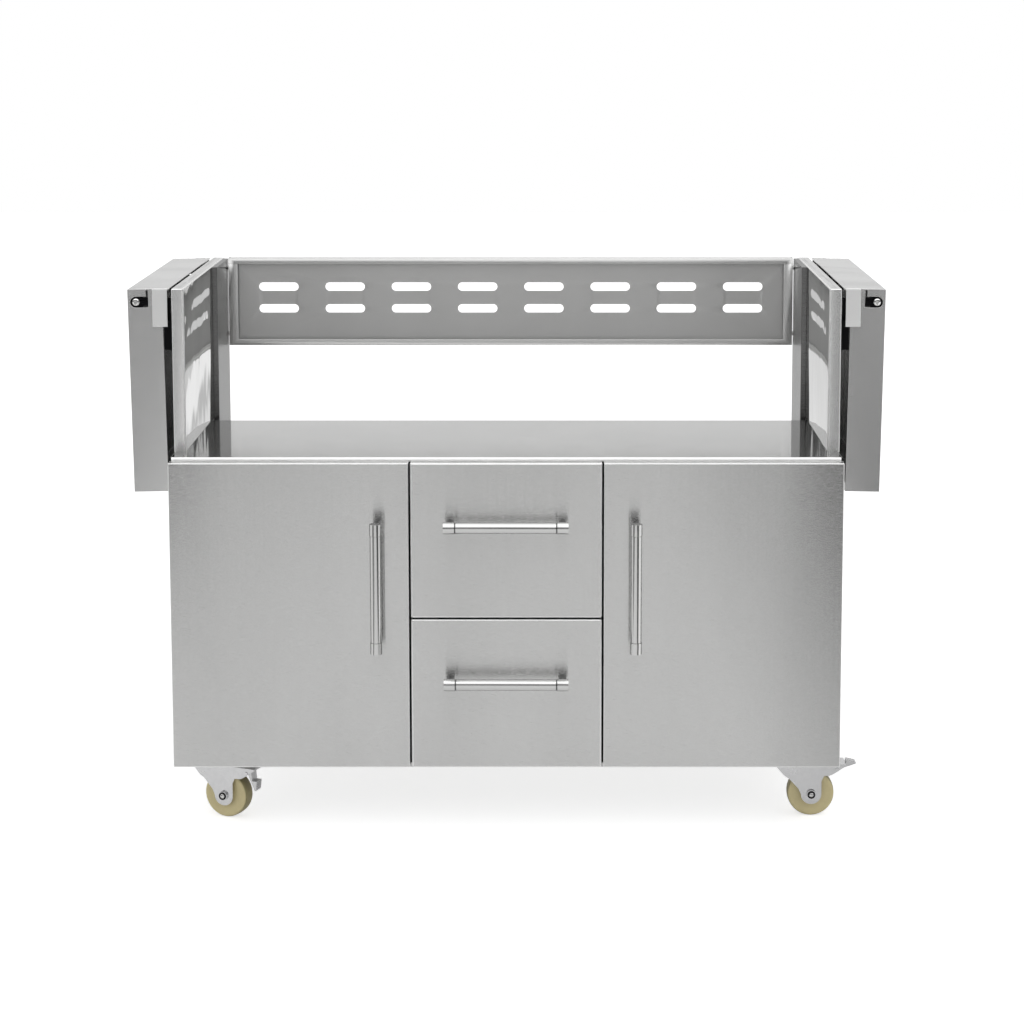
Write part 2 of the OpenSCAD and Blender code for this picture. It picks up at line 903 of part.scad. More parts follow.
module shelf_pivots(side) {
  y0 = shelf_y0 + pivot_plate_y;
  color("gray")
    shelf_frame(side)
      at_shelf_ends()
        difference() {
          span_box(
            [-pivot_plate_half_w, y0, -pivot_plate_half_w],
            [pivot_to_surface - sheet_t, y0 + arm_t, pivot_to_end - sheet_t]
          );
          y_rod(pivot_r + run_gap, y0 - overrun, y0 + arm_t + overrun);
        }
}

// Bracket: cheek in front of the shelf's end, arm behind its end wall, flange on the side wall
module shelf_bracket() {
  wall_x = -pivot_reach;
  flange_x = wall_x + bracket_t;
  flange_top = -flange_top_drop;
  cheek_y1 = shelf_y0 - cheek_gap;
  cheek_y0 = cheek_y1 - bracket_t;
  cheek_top = pivot_drop;
  cheek_bottom = cheek_top - cheek_h;
  arm_y0 = shelf_y0 + arm_y;
  difference() {
    union() {
      // Flange against the side wall
      span_box([wall_x, cheek_y0, flange_top - flange_h], [flange_x, wall_y + flange_l, flange_top]);
      // Cheek and the tab that joins it to the flange
      span_box(
        [wall_x + cheek_reach, cheek_y0, cheek_bottom],
        [wall_x + cheek_reach + cheek_w, cheek_y1, cheek_top]
      );
      span_box(
        [wall_x, cheek_y0, cheek_bottom],
        [wall_x + cheek_reach + overrun, cheek_y1, cheek_bottom + tab_h]
      );
      // Arm from the flange up and out to the pivot
      span_box(
        [wall_x, arm_y0, flange_top - flange_h],
        [wall_x + cheek_reach + arm_half_h, arm_y0 + arm_t, flange_top]
      );
      span_box(
        [wall_x + bracket_t, arm_y0, flange_top - overrun],
        [wall_x + cheek_reach + arm_half_h, arm_y0 + arm_t, arm_half_h]
      );
      span_box(
        [wall_x + bracket_t, arm_y0, -arm_half_h], [0, arm_y0 + arm_t, arm_half_h]
      );
      y_rod(arm_half_h, arm_y0, arm_y0 + arm_t);
    }
    y_rod(pivot_r, arm_y0 - overrun, arm_y0 + arm_t + overrun);
  }
}

module shelf_brackets(side) {
  color("lightgray")
    difference() {
      on_side(side) translate([pivot_x, 0, pivot_z]) at_shelf_ends() shelf_bracket();
      bracket_screw_places(side)
        x_rod(bracket_screw_r + screw_gap, side_x - sheet_t, side_x + bracket_t + overrun);
    }
}

module bracket_screws() {
  color("lightgray")
    for (side = [-1, 1])
      bracket_screw_places(side) {
        x_rod(bracket_screw_r, side_x - 2 * sheet_t, side_x + bracket_t);
        x_rod(bracket_screw_head_r, side_x + bracket_t, side_x + bracket_t + bracket_screw_head_h);
      }
}

// Shoulder bolt: head in the end wall's slot, shank through the arm and the pivot plate
module shelf_bolt() {
  arm_y0 = shelf_y0 + arm_y;
  shank_end = shelf_y0 + pivot_plate_y + arm_t + part_gap;
  y_rod(pivot_head_r, shelf_y0, arm_y0);
  y_rod(pivot_r, arm_y0 - overrun, shank_end + bolt_nut_t);
  y_rod(pivot_head_r, shank_end, shank_end + bolt_nut_t);
}

module shelf_bolts() {
  color("gainsboro")
    for (side = [-1, 1])
      on_side(side) translate([pivot_x, 0, pivot_z]) at_shelf_ends() shelf_bolt();
}

// Bumper that the folded shelf's free end rests on
module shelf_bumpers() {
  depth = shelf_l - pivot_to_end - bumper_rise;
  z = pivot_z - depth;
  gap = pivot_reach + under_x * cos(shelf_lean) - depth * tan(shelf_lean);
  color("dimgray")
    for (side = [-1, 1], y = [shelf_y0 + bumper_end_inset, shelf_y1 - bumper_end_inset])
      on_side(side) translate([0, y, z]) x_rod(bumper_r, side_x, side_x + gap - part_gap);
}

// Casters

module caster_place(i) {
  x = (i % 2 == 0 ? -1 : 1) * caster_x;
  y = i < 2 ? front_caster_y : rear_caster_y;
  translate([x, y, 0]) children();
}

module at_caster(i) {
  caster_place(i) rotate([0, 0, caster_yaws[i]]) children();
}

// Fixed part of a caster: top plate, race and swivel pin
module caster_plates() {
  pin_z = crown_z - part_gap - kingpin_head_h;
  color("lightgray")
    for (i = [0 : 3])
      caster_place(i) {
        span_box([-plate_half_x, -plate_half_y, plate_z], [plate_half_x, plate_half_y, pan_under_z]);
        translate([0, 0, race_z]) cylinder(r = race_r, h = race_h);
        translate([0, 0, pin_z]) cylinder(r = kingpin_r, h = race_z - pin_z + overrun);
        translate([0, 0, pin_z]) cylinder(r = kingpin_head_r, h = kingpin_head_h);
      }
}

// Outline of a fork's leg about the axle, with its round foot
module leg_outline() {
  circle(r = leg_foot_r);
  polygon(concat(
    [[-leg_foot_r, 0]],
    [for (p = fore_edge_shares) [p[0] * crown_fore, p[1] * leg_h]],
    [for (p = aft_edge_shares) [p[0] * crown_aft, p[1] * leg_h]],
    [[leg_foot_r, foot_side_share * leg_h], [leg_foot_r, 0]]
  ));
}

module fork(i, has_pedal) {
  color("lightgray")
    at_caster(i) {
      difference() {
        union() {
          for (side = [0, 1])
            mirror([0, side, 0])
              translate([trail, 0, wheel_r]) y_plate(leg_in_y, leg_out_y) leg_outline();
          span_box(
            [trail - crown_fore, -leg_out_y, crown_z],
            [trail + crown_aft, leg_out_y, crown_z + crown_t]
          );
          translate([0, 0, crown_z]) cylinder(r = boss_r, h = race_z - part_gap - crown_z);
          if (has_pedal)
            y_plate(-shoe_half_w, shoe_half_w)
              polygon([
                [shoe_reach, crown_z + overrun], [shoe_reach - shoe_t, crown_z + overrun],
                [shoe_reach - shoe_t - shoe_lean, crown_z - shoe_h],
                [shoe_reach - shoe_lean, crown_z - shoe_h]
              ]);
        }
        translate([0, 0, crown_z - overrun])
          cylinder(r = kingpin_r + run_gap, h = race_z - crown_z + overrun);
        translate([trail, 0, wheel_r])
          y_rod(axle_r + screw_gap, -leg_out_y - overrun, leg_out_y + overrun);
        if (has_pedal)
          translate([pedal_pivot[0], 0, pedal_pivot[1]])
            y_rod(pedal_pin_r + screw_gap, -leg_out_y - overrun, leg_out_y + overrun);
      }
      translate([trail, 0, wheel_r]) {
        y_rod(axle_r, -leg_out_y - axle_head_h, leg_out_y + axle_head_h);
        for (side = [0, 1])
          mirror([0, side, 0])
            y_rod(axle_head_r, leg_out_y + screw_gap, leg_out_y + axle_head_h);
      }
      if (has_pedal)
        translate([pedal_pivot[0], 0, pedal_pivot[1]]) {
          y_rod(pedal_pin_r, -leg_out_y - pedal_pin_head_h, leg_out_y + pedal_pin_head_h);
          for (side = [0, 1])
            mirror([0, side, 0])
              y_rod(pedal_pin_head_r, leg_out_y + screw_gap, leg_out_y + pedal_pin_head_h);
        }
    }
}

module wheel(i) {
  tread_half_w = wheel_w / 2;
  half = [
    [axle_r + run_gap, hub_half_w], [hub_r, hub_half_w], [hub_r, web_half_w],
    [rim_r - tread_edge, web_half_w], [rim_r, tread_half_w],
    [wheel_r - tread_edge, tread_half_w], [wheel_r, tread_half_w - tread_edge]
  ];
  count = len(half);
  outline = concat(half, [for (k = [count - 1 : -1 : 0]) [half[k][0], -half[k][1]]]);
  color("khaki")
    at_caster(i)
      translate([trail, 0, wheel_r]) rotate([90, 0, 0]) rotate_extrude() polygon(outline);
}

// Brake pedal about its pivot: hub, footplate with ribs, and the lobe that meets the shoe
module pedal(i, pressed) {
  size = [pedal_l, pedal_h];
  function at_share(p) = [p[0] * size[0], p[1] * size[1]];
  tread_low = at_share(tread_shares[0]);
  tread_high = at_share(tread_shares[1]);
  slope = atan2(tread_high[1] - tread_low[1], tread_high[0] - tread_low[0]);
  run = norm(tread_high - tread_low);
  color("whitesmoke")
    at_caster(i)
      translate([pedal_pivot[0], 0, pedal_pivot[1]])
        rotate([0, pressed * pedal_turn, 0]) {
          difference() {
            union() {
              y_rod(pedal_hub_r, -pedal_half_w, pedal_half_w);
              y_plate(-pedal_half_w, pedal_half_w)
                polygon([
                  [0, -pedal_hub_r], at_share(pedal_under_shares[0]),
                  at_share(pedal_under_shares[1]), tread_high, tread_low,
                  at_share(pedal_neck_share), [0, pedal_hub_r - part_gap]
                ]);
              rotate([0, -lobe_angle, 0]) {
                span_box([0, -lobe_half_w, -lobe_r], [lobe_l, lobe_half_w, lobe_r]);
                translate([lobe_l, 0, 0]) y_rod(lobe_r, -lobe_half_w, lobe_half_w);
              }
              translate([tread_low[0], 0, tread_low[1]])
                rotate([0, -slope, 0])
                  for (k = [1 : rib_count])
                    translate([k * run / (rib_count + 1), 0, 0])
                      span_box([-rib_w / 2, -rib_half_l, -rib_h], [rib_w / 2, rib_half_l, rib_h]);
            }
            y_rod(pedal_pin_r + run_gap, -pedal_half_w - overrun, pedal_half_w + overrun);
          }
        }
}

base_pan();
side_panel(-1);  // left_side_panel
side_panel(1);  // right_side_panel
lower_back_panel();
divider(-1);  // left_divider
divider(1);  // right_divider
front_rails();
front_stiles();
deck();
rear_ledge();
upper_panel(-1);  // left_upper_panel
upper_panel(1);  // right_upper_panel
upper_liner(-1);  // left_upper_liner
upper_liner(1);  // right_upper_liner
back_panel();
rear_posts();
back_screws();
door_catches();
frame_hinge_leaves();
hinge_pins();
drawer_rails();
shelf_brackets(-1);  // left_shelf_brackets
shelf_brackets(1);  // right_shelf_brackets
bracket_screws();
shelf_bolts();
shelf_bumpers();
caster_plates();
door_skin(-1);  // left_door_skin
door_liner(-1);  // left_door_liner
door_handle(-1);  // left_door_handle
door_hinges(-1);  // left_door_hinges
door_skin(1);  // right_door_skin
door_liner(1);  // right_door_liner
door_handle(1);  // right_door_handle
door_hinges(1);  // right_door_hinges
drawer_front(upper_front_z, door_top_z);  // upper_drawer_front
drawer_box(upper_front_z);  // upper_drawer_box
drawer_handle(door_top_z);  // upper_drawer_handle
drawer_runners(upper_front_z);  // upper_drawer_runners
mid_runners(upper_front_z);  // upper_mid_runners
drawer_front(door_bottom_z, lower_front_top_z);  // lower_drawer_front
drawer_box(door_bottom_z);  // lower_drawer_box
drawer_handle(lower_front_top_z);  // lower_drawer_handle
drawer_runners(door_bottom_z);  // lower_drawer_runners
mid_runners(door_bottom_z);  // lower_mid_runners
shelf(-1);  // left_shelf
shelf_pivots(-1);  // left_shelf_pivots
shelf(1);  // right_shelf
shelf_pivots(1);  // right_shelf_pivots
fork(0, true);  // front_left_fork
wheel(0);  // front_left_wheel
pedal(0, 1);  // front_left_pedal
fork(1, true);  // front_right_fork
wheel(1);  // front_right_wheel
pedal(1, 0);  // front_right_pedal
fork(2, false);  // rear_left_fork
wheel(2);  // rear_left_wheel
fork(3, false);  // rear_right_fork
wheel(3);  // rear_right_wheel
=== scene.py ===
"""Visual model of a wheeled stainless cart for a drop-in grill head.

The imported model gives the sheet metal, doors, drawers, shelves and casters. This script softens
their folds, gives every one of them a procedural finish, and adds the small pieces that make
such a cart: bearing balls, bolt heads, screw recesses and the rounded wheels. Lengths are in
metres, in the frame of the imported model: +X to the right, +Y to the rear, +Z up.
"""

from __future__ import annotations

import json
import logging
import math
from collections.abc import Callable, Iterable, Sequence
from dataclasses import dataclass
from enum import Enum

import bmesh
import bpy
from mathutils import Matrix, Vector

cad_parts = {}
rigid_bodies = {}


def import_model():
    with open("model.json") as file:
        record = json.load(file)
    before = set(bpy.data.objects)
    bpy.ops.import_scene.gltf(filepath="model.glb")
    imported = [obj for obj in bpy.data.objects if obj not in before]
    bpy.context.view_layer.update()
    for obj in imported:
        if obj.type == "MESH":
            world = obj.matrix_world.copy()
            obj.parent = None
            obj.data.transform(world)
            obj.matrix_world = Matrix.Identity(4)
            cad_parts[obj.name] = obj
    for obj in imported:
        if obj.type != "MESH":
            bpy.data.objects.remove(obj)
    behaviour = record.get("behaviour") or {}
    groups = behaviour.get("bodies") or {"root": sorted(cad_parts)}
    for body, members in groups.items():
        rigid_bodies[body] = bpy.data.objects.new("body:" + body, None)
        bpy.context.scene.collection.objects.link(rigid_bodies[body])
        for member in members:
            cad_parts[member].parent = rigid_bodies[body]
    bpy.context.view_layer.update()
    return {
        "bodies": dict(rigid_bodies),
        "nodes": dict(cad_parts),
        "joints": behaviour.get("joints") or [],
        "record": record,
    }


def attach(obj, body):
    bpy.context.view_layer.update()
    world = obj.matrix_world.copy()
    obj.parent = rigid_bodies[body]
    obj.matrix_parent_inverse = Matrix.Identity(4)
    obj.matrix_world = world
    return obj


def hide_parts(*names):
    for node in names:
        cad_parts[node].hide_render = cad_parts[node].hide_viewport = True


LOG = logging.getLogger("grill_cart")

Colour = tuple[float, float, float]
Point = tuple[float, float, float]
Pair = tuple[float, float]
Socket = bpy.types.NodeSocket

ORIGIN: Point = (0.0, 0.0, 0.0)
UNIT: Point = (1.0, 1.0, 1.0)
WHITE = (1.0, 1.0, 1.0, 1.0)
# Near black painted shade, put where gaps, slots and the shelf brackets' flanges lie in shade.
PAINTED_SHADE: Colour = (0.012, 0.012, 0.013)
# Pale, rough finish on folds and rolled edges: a painted highlight that draws thin pale lines along
# them.
HIGHLIGHT_EDGE = "painted highlight edge steel"
ALONG_BRUSHING = 0.012
SAME_CORNER = 0.00001
FOLD_FROM = math.radians(40)


def steel(tone: float) -> Colour:
    """Gives the slightly warm grey of bare steel."""
    return (tone, tone, tone - 0.005)


class Grain(Enum):
    """Direction in which a sheet was brushed, with the direction across it in the sheet."""

    LEVEL = ("X", (0.0, 0.0, 1.0))
    DEEP = ("Y", (1.0, 0.0, 0.0))
    FLAT = ("X", (0.0, 1.0, 0.0))

    @property
    def stretch(self) -> Point:
        """Scale of the grain's pattern along X, Y and Z, small along the brushing."""
        return tuple(ALONG_BRUSHING if axis == self.value[0] else 1.0 for axis in "XYZ")

    @property
    def across(self) -> Point:
        """Direction in which the brushing smears a reflection."""
        return self.value[1]


class Graph:
    """Adds nodes to one node tree and links them."""

    def __init__(self, tree: bpy.types.NodeTree) -> None:
        """Keeps the tree."""
        self.tree = tree

    def feed(self, node: bpy.types.Node, values: dict) -> None:
        """Gives a node's inputs their values.

        Args:
            node: the node.
            values: for an input's name or number, a value or the socket that feeds it.
        """
        for key, value in values.items():
            if isinstance(value, Socket):
                self.tree.links.new(value, node.inputs[key])
            else:
                node.inputs[key].default_value = value

    def add(self, kind: str, values: dict | None = None, **settings: object) -> bpy.types.Node:
        """Adds one node.

        Args:
            kind: name of the node type, where a shader node's leaves out the shared part.
            values: what its inputs get, as in feed.
            settings: properties of the node.

        Returns:
            The new node.
        """
        node = self.tree.nodes.new(kind if "Node" in kind else f"ShaderNode{kind}")
        for name, value in settings.items():
            setattr(node, name, value)
        self.feed(node, values or {})
        return node

    def math(self, operation: str, *values: object) -> Socket:
        """Adds a math node and returns its result."""
        return self.add("Math", dict(enumerate(values)), operation=operation).outputs[0]

    def remap(self, value: object, span: Pair, to: Pair = (0.0, 1.0)) -> Socket:
        """Maps a span of values to another and clamps it."""
        return self.add("MapRange", dict(enumerate((value, *span, *to)))).outputs[0]

    def about_one(self, value: object, spread: float) -> Socket:
        """Maps 0 to 1 to a span of factors about 1."""
        return self.remap(value, (0.0, 1.0), (1.0 - spread, 1.0 + spread))

    def vector(self, operation: str, *values: object) -> Socket:
        """Adds a vector math node and returns its vector."""
        return self.add("VectorMath", dict(enumerate(values)), operation=operation).outputs[0]

    def toned(self, colour: Colour, factor: object) -> Socket:
        """Multiplies a colour by a factor."""
        return self.add("VectorMath", {0: colour, 3: factor}, operation="SCALE").outputs[0]

    def noise(
        self, place: object, scale: object, detail: float, roughness: float, distortion: float = 0.0
    ) -> Socket:
        """Adds a noise texture."""
        values = {"Vector": place, "Scale": scale, "Detail": detail, "Roughness": roughness}
        return self.add("TexNoise", {**values, "Distortion": distortion}).outputs[0]

    def mix(self, share: object, first: Sequence | Socket, second: Colour) -> Socket:
        """Mixes two colours."""
        values = {0: share, 6: first, 7: (*second, 1.0)}
        return self.add("Mix", values, data_type="RGBA").outputs[2]

    def blend(self, share: object, first: object, second: float) -> Socket:
        """Mixes two values."""
        return self.add("Mix", {0: share, 2: first, 3: second}, data_type="FLOAT").outputs[0]

    def axes(self, place: Socket) -> bpy.types.NodeOutputs:
        """Parts a vector into X, Y and Z."""
        return self.add("SeparateXYZ", {0: place}).outputs

    def own_place(self) -> Socket:
        """Gives the object's own coordinates."""
        return self.add("TexCoord").outputs["Object"]

    def bump(self, height: object, depth: float, normal: object = None) -> Socket:
        """Adds a bump node.

        Args:
            height: the height's socket.
            depth: depth in metres.
            normal: the normal that it starts from, where it isn't the surface's own.

        Returns:
            The bent normal.
        """
        values = {"Height": height, "Distance": depth, "Strength": 1.0}
        if normal is not None:
            values["Normal"] = normal
        return self.add("Bump", values).outputs[0]


class EffectGroup:
    """A node group with named inputs and outputs, built once and shared by the finishes."""

    def __init__(self, name: str, inputs: dict[str, float | Point], outputs: Iterable[str]) -> None:
        """Makes the group and its sockets.

        Args:
            name: the group's name.
            inputs: name and first value of each input besides the place, where three numbers
                make a vector.
            outputs: names of the outputs, all of them single values.
        """
        self.tree = bpy.data.node_groups.new(name, "ShaderNodeTree")
        for key, value in {"Place": ORIGIN, **inputs}.items():
            kind = "NodeSocketVector" if isinstance(value, tuple) else "NodeSocketFloat"
            socket = self.tree.interface.new_socket(key, in_out="INPUT", socket_type=kind)
            socket.default_value = value
        for key in outputs:
            self.tree.interface.new_socket(key, in_out="OUTPUT", socket_type="NodeSocketFloat")
        self.graph = Graph(self.tree)
        self.given = self.graph.add("NodeGroupInput").outputs
        self.result = self.graph.add("NodeGroupOutput")

    def give(self, **outputs: Socket) -> None:
        """Links the named outputs."""
        self.graph.feed(self.result, outputs)

    def place(self, graph: Graph, where: Socket, **values: object) -> bpy.types.NodeOutputs:
        """Puts the group in a material, at some coordinates, and returns its outputs."""
        return graph.add("Group", {"Place": where, **values}, node_tree=self.tree).outputs


class Effects:
    """The shared effects: brushed grain, waves, handling marks, speckle and the two masks."""

    def __init__(self) -> None:
        """Builds every group once."""
        self.grain = self._grain()
        self.waves = self._waves()
        self.marks = self._marks()
        self.speckle = self._speckle()
        self.zone = self._zone()
        self.ring = self._ring()

    @staticmethod
    def _grain() -> EffectGroup:
        """Builds fine lines that run along the brushing.

        Returns:
            A group that puts out the lines as a value and as a height.
        """
        group = EffectGroup("brushed grain", {"Stretch": UNIT}, ("Lines", "Height"))
        graph, given = group.graph, group.given
        along = graph.vector("MULTIPLY", given["Place"], given["Stretch"])
        coarse = graph.noise(along, scale=5200.0, detail=2.0, roughness=0.6)
        fine = graph.noise(along, scale=11000.0, detail=1.0, roughness=0.6)
        mixed = graph.math("MULTIPLY_ADD", fine, 0.45, graph.math("MULTIPLY", coarse, 0.55))
        group.give(Lines=graph.remap(mixed, (0.32, 0.68)), Height=mixed)
        return group

    @staticmethod
    def _waves() -> EffectGroup:
        """Builds the slow waves of a sheet that isn't quite flat.

        Returns:
            A group that puts out a height and a slow cloudiness.
        """
        inputs = {"Stretch": UNIT, "Scale": 6.0, "Shift": 0.0}
        group = EffectGroup("sheet waves", inputs, ("Height", "Cloud"))
        graph, given = group.graph, group.given
        drawn = graph.vector("MULTIPLY", given["Place"], given["Stretch"])
        moved = graph.vector("ADD", drawn, given["Shift"])
        slow = graph.noise(moved, given["Scale"], detail=1.5, roughness=0.45, distortion=0.3)
        cloud = graph.noise(moved, scale=6.5, detail=2.0, roughness=0.5)
        group.give(Height=slow, Cloud=graph.remap(cloud, (0.3, 0.7)))
        return group

    @staticmethod
    def _marks() -> EffectGroup:
        """Builds faint smudges from handling.

        Returns:
            A group that puts out one mask.
        """
        group = EffectGroup("handling marks", {"Amount": 0.5}, ("Mask",))
        graph, given = group.graph, group.given
        smudge = graph.noise(given["Place"], scale=17.0, detail=5.0, roughness=0.62)
        patch = graph.remap(smudge, (0.5, 0.75))
        group.give(Mask=graph.math("MULTIPLY", patch, given["Amount"]))
        return group

    @staticmethod
    def _speckle() -> EffectGroup:
        """Builds the fine mottling of plating, moulded plastic and rubber.

        Returns:
            A group that puts out a value and a height.
        """
        group = EffectGroup("speckle", {"Scale": 300.0}, ("Mottle", "Height"))
        graph, given = group.graph, group.given
        noise = graph.noise(given["Place"], given["Scale"], detail=4.0, roughness=0.6)
        coarser = graph.math("MULTIPLY", given["Scale"], 0.35)
        cells = graph.add("TexVoronoi", {"Vector": given["Place"], "Scale": coarser}).outputs[0]
        value = graph.math("MULTIPLY_ADD", cells, 0.3, graph.math("MULTIPLY", noise, 0.7))
        group.give(Mottle=graph.remap(value, (0.25, 0.7)), Height=noise)
        return group

    @staticmethod
    def _zone() -> EffectGroup:
        """Builds a mask of the places between two corners, the same on both sides of the cart.

        Returns:
            A group that puts out one mask.
        """
        group = EffectGroup("zone", {"Middle": ORIGIN, "Half": UNIT}, ("Mask",))
        graph, given = group.graph, group.given
        axes = graph.axes(given["Place"])
        values = {0: graph.math("ABSOLUTE", axes[0]), 1: axes[1], 2: axes[2]}
        right = graph.add("CombineXYZ", values).outputs[0]
        away = graph.vector("ABSOLUTE", graph.vector("SUBTRACT", right, given["Middle"]))
        inside = graph.axes(graph.vector("SUBTRACT", given["Half"], away))
        least = graph.math("MINIMUM", graph.math("MINIMUM", inside[0], inside[1]), inside[2])
        group.give(Mask=graph.math("GREATER_THAN", least, 0.0))
        return group

    @staticmethod
    def _ring() -> EffectGroup:
        """Builds a mask of what lies beyond a radius about the object's Y axis.

        Returns:
            A group that puts out one mask.
        """
        group = EffectGroup("ring", {"Radius": 0.038}, ("Mask",))
        graph, given = group.graph, group.given
        flat = graph.vector("MULTIPLY", given["Place"], (1.0, 0.0, 1.0))
        reach = graph.add("VectorMath", {0: flat}, operation="LENGTH").outputs["Value"]
        past = graph.math("SUBTRACT", reach, given["Radius"])
        group.give(Mask=graph.remap(past, (-0.0006, 0.0006)))
        return group


@dataclass(frozen=True)
class SteelFinish:
    """Brushed or mirror-like stainless sheet.

    The roughness is that of the dark and the bright lines of the grain. The shift gives each
    sheet other waves. The spring is a slight twist of the whole sheet, which bends its mirror
    image and is none at the Y and Z of spring_from.
    """

    name: str
    colour: Colour = steel(0.575)
    roughness: Pair = (0.12, 0.28)
    grain: Grain = Grain.LEVEL
    anisotropy: float = 1.0
    grain_depth: float = 0.0000003
    grain_contrast: float = 0.015
    cloud: float = 0.03
    wave_scale: float = 5.0
    wave_depth: float = 0.0006
    wave_stretch: Point = (1.0, 1.0, 0.2)
    marks: float = 0.35
    mark_roughness: float = 0.05
    shift: float = 0.0
    spring: float = 0.0
    spring_from: Pair = (0.36, 0.66)

    def build(self, effects: Effects) -> bpy.types.Material:
        """Makes the material.

        Args:
            effects: the shared node groups.

        Returns:
            The finished material.
        """
        material, graph, shader = new_material(self.name)
        place = graph.own_place()
        lines = effects.grain.place(graph, place, Stretch=self.grain.stretch)
        wave = {"Stretch": self.wave_stretch, "Scale": self.wave_scale, "Shift": self.shift}
        waves = effects.waves.place(graph, place, **wave)
        marks = effects.marks.place(graph, place, Amount=self.marks)["Mask"]
        grained = graph.about_one(lines["Lines"], self.grain_contrast)
        tone = graph.math("MULTIPLY", grained, graph.about_one(waves["Cloud"], self.cloud))
        rough = graph.remap(lines["Lines"], (0.3, 0.7), self.roughness)
        inputs = {
            "Base Color": self.tinted(graph, place, graph.toned(self.colour, tone), effects),
            "Roughness": graph.math("MULTIPLY_ADD", marks, self.mark_roughness, rough),
            "Metallic": 1.0,
            "Anisotropic": self.anisotropy,
        }
        if self.anisotropy:
            turned = {"vector_type": "VECTOR", "convert_from": "OBJECT", "convert_to": "WORLD"}
            across = graph.add("VectorTransform", {0: self.grain.across}, **turned)
            inputs["Tangent"] = across.outputs[0]
        normal = graph.bump(waves["Height"], self.wave_depth)
        if self.spring:
            axes = graph.axes(place)
            rear, low = self.spring_from
            height = graph.math("SUBTRACT", axes[2], low)
            twist = graph.math("MULTIPLY", graph.math("SUBTRACT", axes[1], rear), height)
            normal = graph.bump(twist, self.spring, normal)
        if self.grain_depth:
            normal = graph.bump(lines["Height"], self.grain_depth, normal)
        graph.feed(shader, {**inputs, "Normal": normal})
        return material

    def tinted(self, graph: Graph, place: Socket, colour: Socket, effects: Effects) -> Socket:
        """Gives the colour unchanged; a finish with zones overrides this."""
        return colour


@dataclass(frozen=True)
class Zone:
    """A box in which a finish has another tone, the same on both sides of the cart.

    It is given where X is positive, and mirrored to the left. Unless given, its tone is near black
    painted shade.
    """

    middle: Point
    half: Point
    tone: Colour = PAINTED_SHADE


@dataclass(frozen=True)
class ZonedFinish(SteelFinish):
    """Steel sheet that has another tone inside some zones."""

    zones: tuple[Zone, ...] = ()

    def tinted(self, graph: Graph, place: Socket, colour: Socket, effects: Effects) -> Socket:
        """Gives the zones their other tone.

        Args:
            graph: the material's graph.
            place: the object's coordinates.
            colour: the sheet's colour.
            effects: the shared node groups.

        Returns:
            The colour for the shader.
        """
        for zone in self.zones:
            inside = effects.zone.place(graph, place, Middle=zone.middle, Half=zone.half)
            colour = graph.mix(inside["Mask"], colour, zone.tone)
        return colour


@dataclass(frozen=True)
class PlatedFinish:
    """Bright plated or polished metal, such as a caster's pressing or a screw's head."""

    name: str
    colour: Colour = steel(0.66)
    roughness: float = 0.2
    mottle_scale: float = 260.0
    mottle: float = 0.06
    mottle_roughness: float = 0.06
    marks: float = 0.6
    mark_roughness: float = 0.08
    depth: float = 0.00002

    def build(self, effects: Effects) -> bpy.types.Material:
        """Makes the material.

        Args:
            effects: the shared node groups.

        Returns:
            The finished material.
        """
        material, graph, shader = new_material(self.name)
        place = graph.own_place()
        speckle = effects.speckle.place(graph, place, Scale=self.mottle_scale)
        marks = effects.marks.place(graph, place, Amount=self.marks)["Mask"]
        tone = graph.about_one(speckle["Mottle"], self.mottle)
        least = self.roughness - self.mottle_roughness / 2
        rough = graph.math("MULTIPLY_ADD", speckle["Mottle"], self.mottle_roughness, least)
        inputs = {
            "Base Color": graph.toned(self.colour, tone),
            "Roughness": graph.math("MULTIPLY_ADD", marks, self.mark_roughness, rough),
            "Metallic": 1.0,
            "Normal": graph.bump(speckle["Height"], self.depth),
        }
        graph.feed(shader, inputs)
        return material


@dataclass(frozen=True)
class MouldedFinish:
    """Moulded plastic or rubber."""

    name: str
    colour: Colour
    dark: Colour
    roughness: float = 0.5
    mottle_scale: float = 420.0
    mottle: float = 0.3
    mottle_roughness: float = 0.12
    marks: float = 0.8
    mark_share: float = 0.35
    depth: float = 0.00008
    tread: Colour | None = None
    tread_radius: float = 0.0385

    def build(self, effects: Effects) -> bpy.types.Material:
        """Makes the material.

        Args:
            effects: the shared node groups.

        Returns:
            The finished material.
        """
        material, graph, shader = new_material(self.name)
        place = graph.own_place()
        speckle = effects.speckle.place(graph, place, Scale=self.mottle_scale)
        marks = effects.marks.place(graph, place, Amount=self.marks)["Mask"]
        mottled = graph.math("MULTIPLY", speckle["Mottle"], self.mottle)
        share = graph.math("MULTIPLY_ADD", marks, self.mark_share, mottled)
        colour = graph.mix(share, (*self.colour, 1.0), self.dark)
        if self.tread:
            # Beyond the tread radius the colour turns darker.
            tread_band = effects.ring.place(graph, place, Radius=self.tread_radius)["Mask"]
            colour = graph.mix(tread_band, colour, self.tread)
        least = self.roughness - self.mottle_roughness / 2
        inputs = {
            "Base Color": colour,
            "Roughness": graph.math(
                "MULTIPLY_ADD", speckle["Mottle"], self.mottle_roughness, least
            ),
            "Normal": graph.bump(speckle["Height"], self.depth),
        }
        graph.feed(shader, inputs)
        return material


def new_material(name: str) -> tuple[bpy.types.Material, Graph, bpy.types.Node]:
    """Makes a material that holds one Principled shader.

    Args:
        name: the material's name.

    Returns:
        The material, its graph and its shader.
    """
    material = bpy.data.materials.new(name)
    material.use_nodes = True
    graph = Graph(material.node_tree)
    shader = next(n for n in material.node_tree.nodes if n.type == "BSDF_PRINCIPLED")
    return material, graph, shader


@dataclass(frozen=True)
class Card:
    """A card that glows on the side towards its aim."""

    name: str
    place: Point
    aim: Point
    size: Pair
    strength: float
    back: float = 0.02


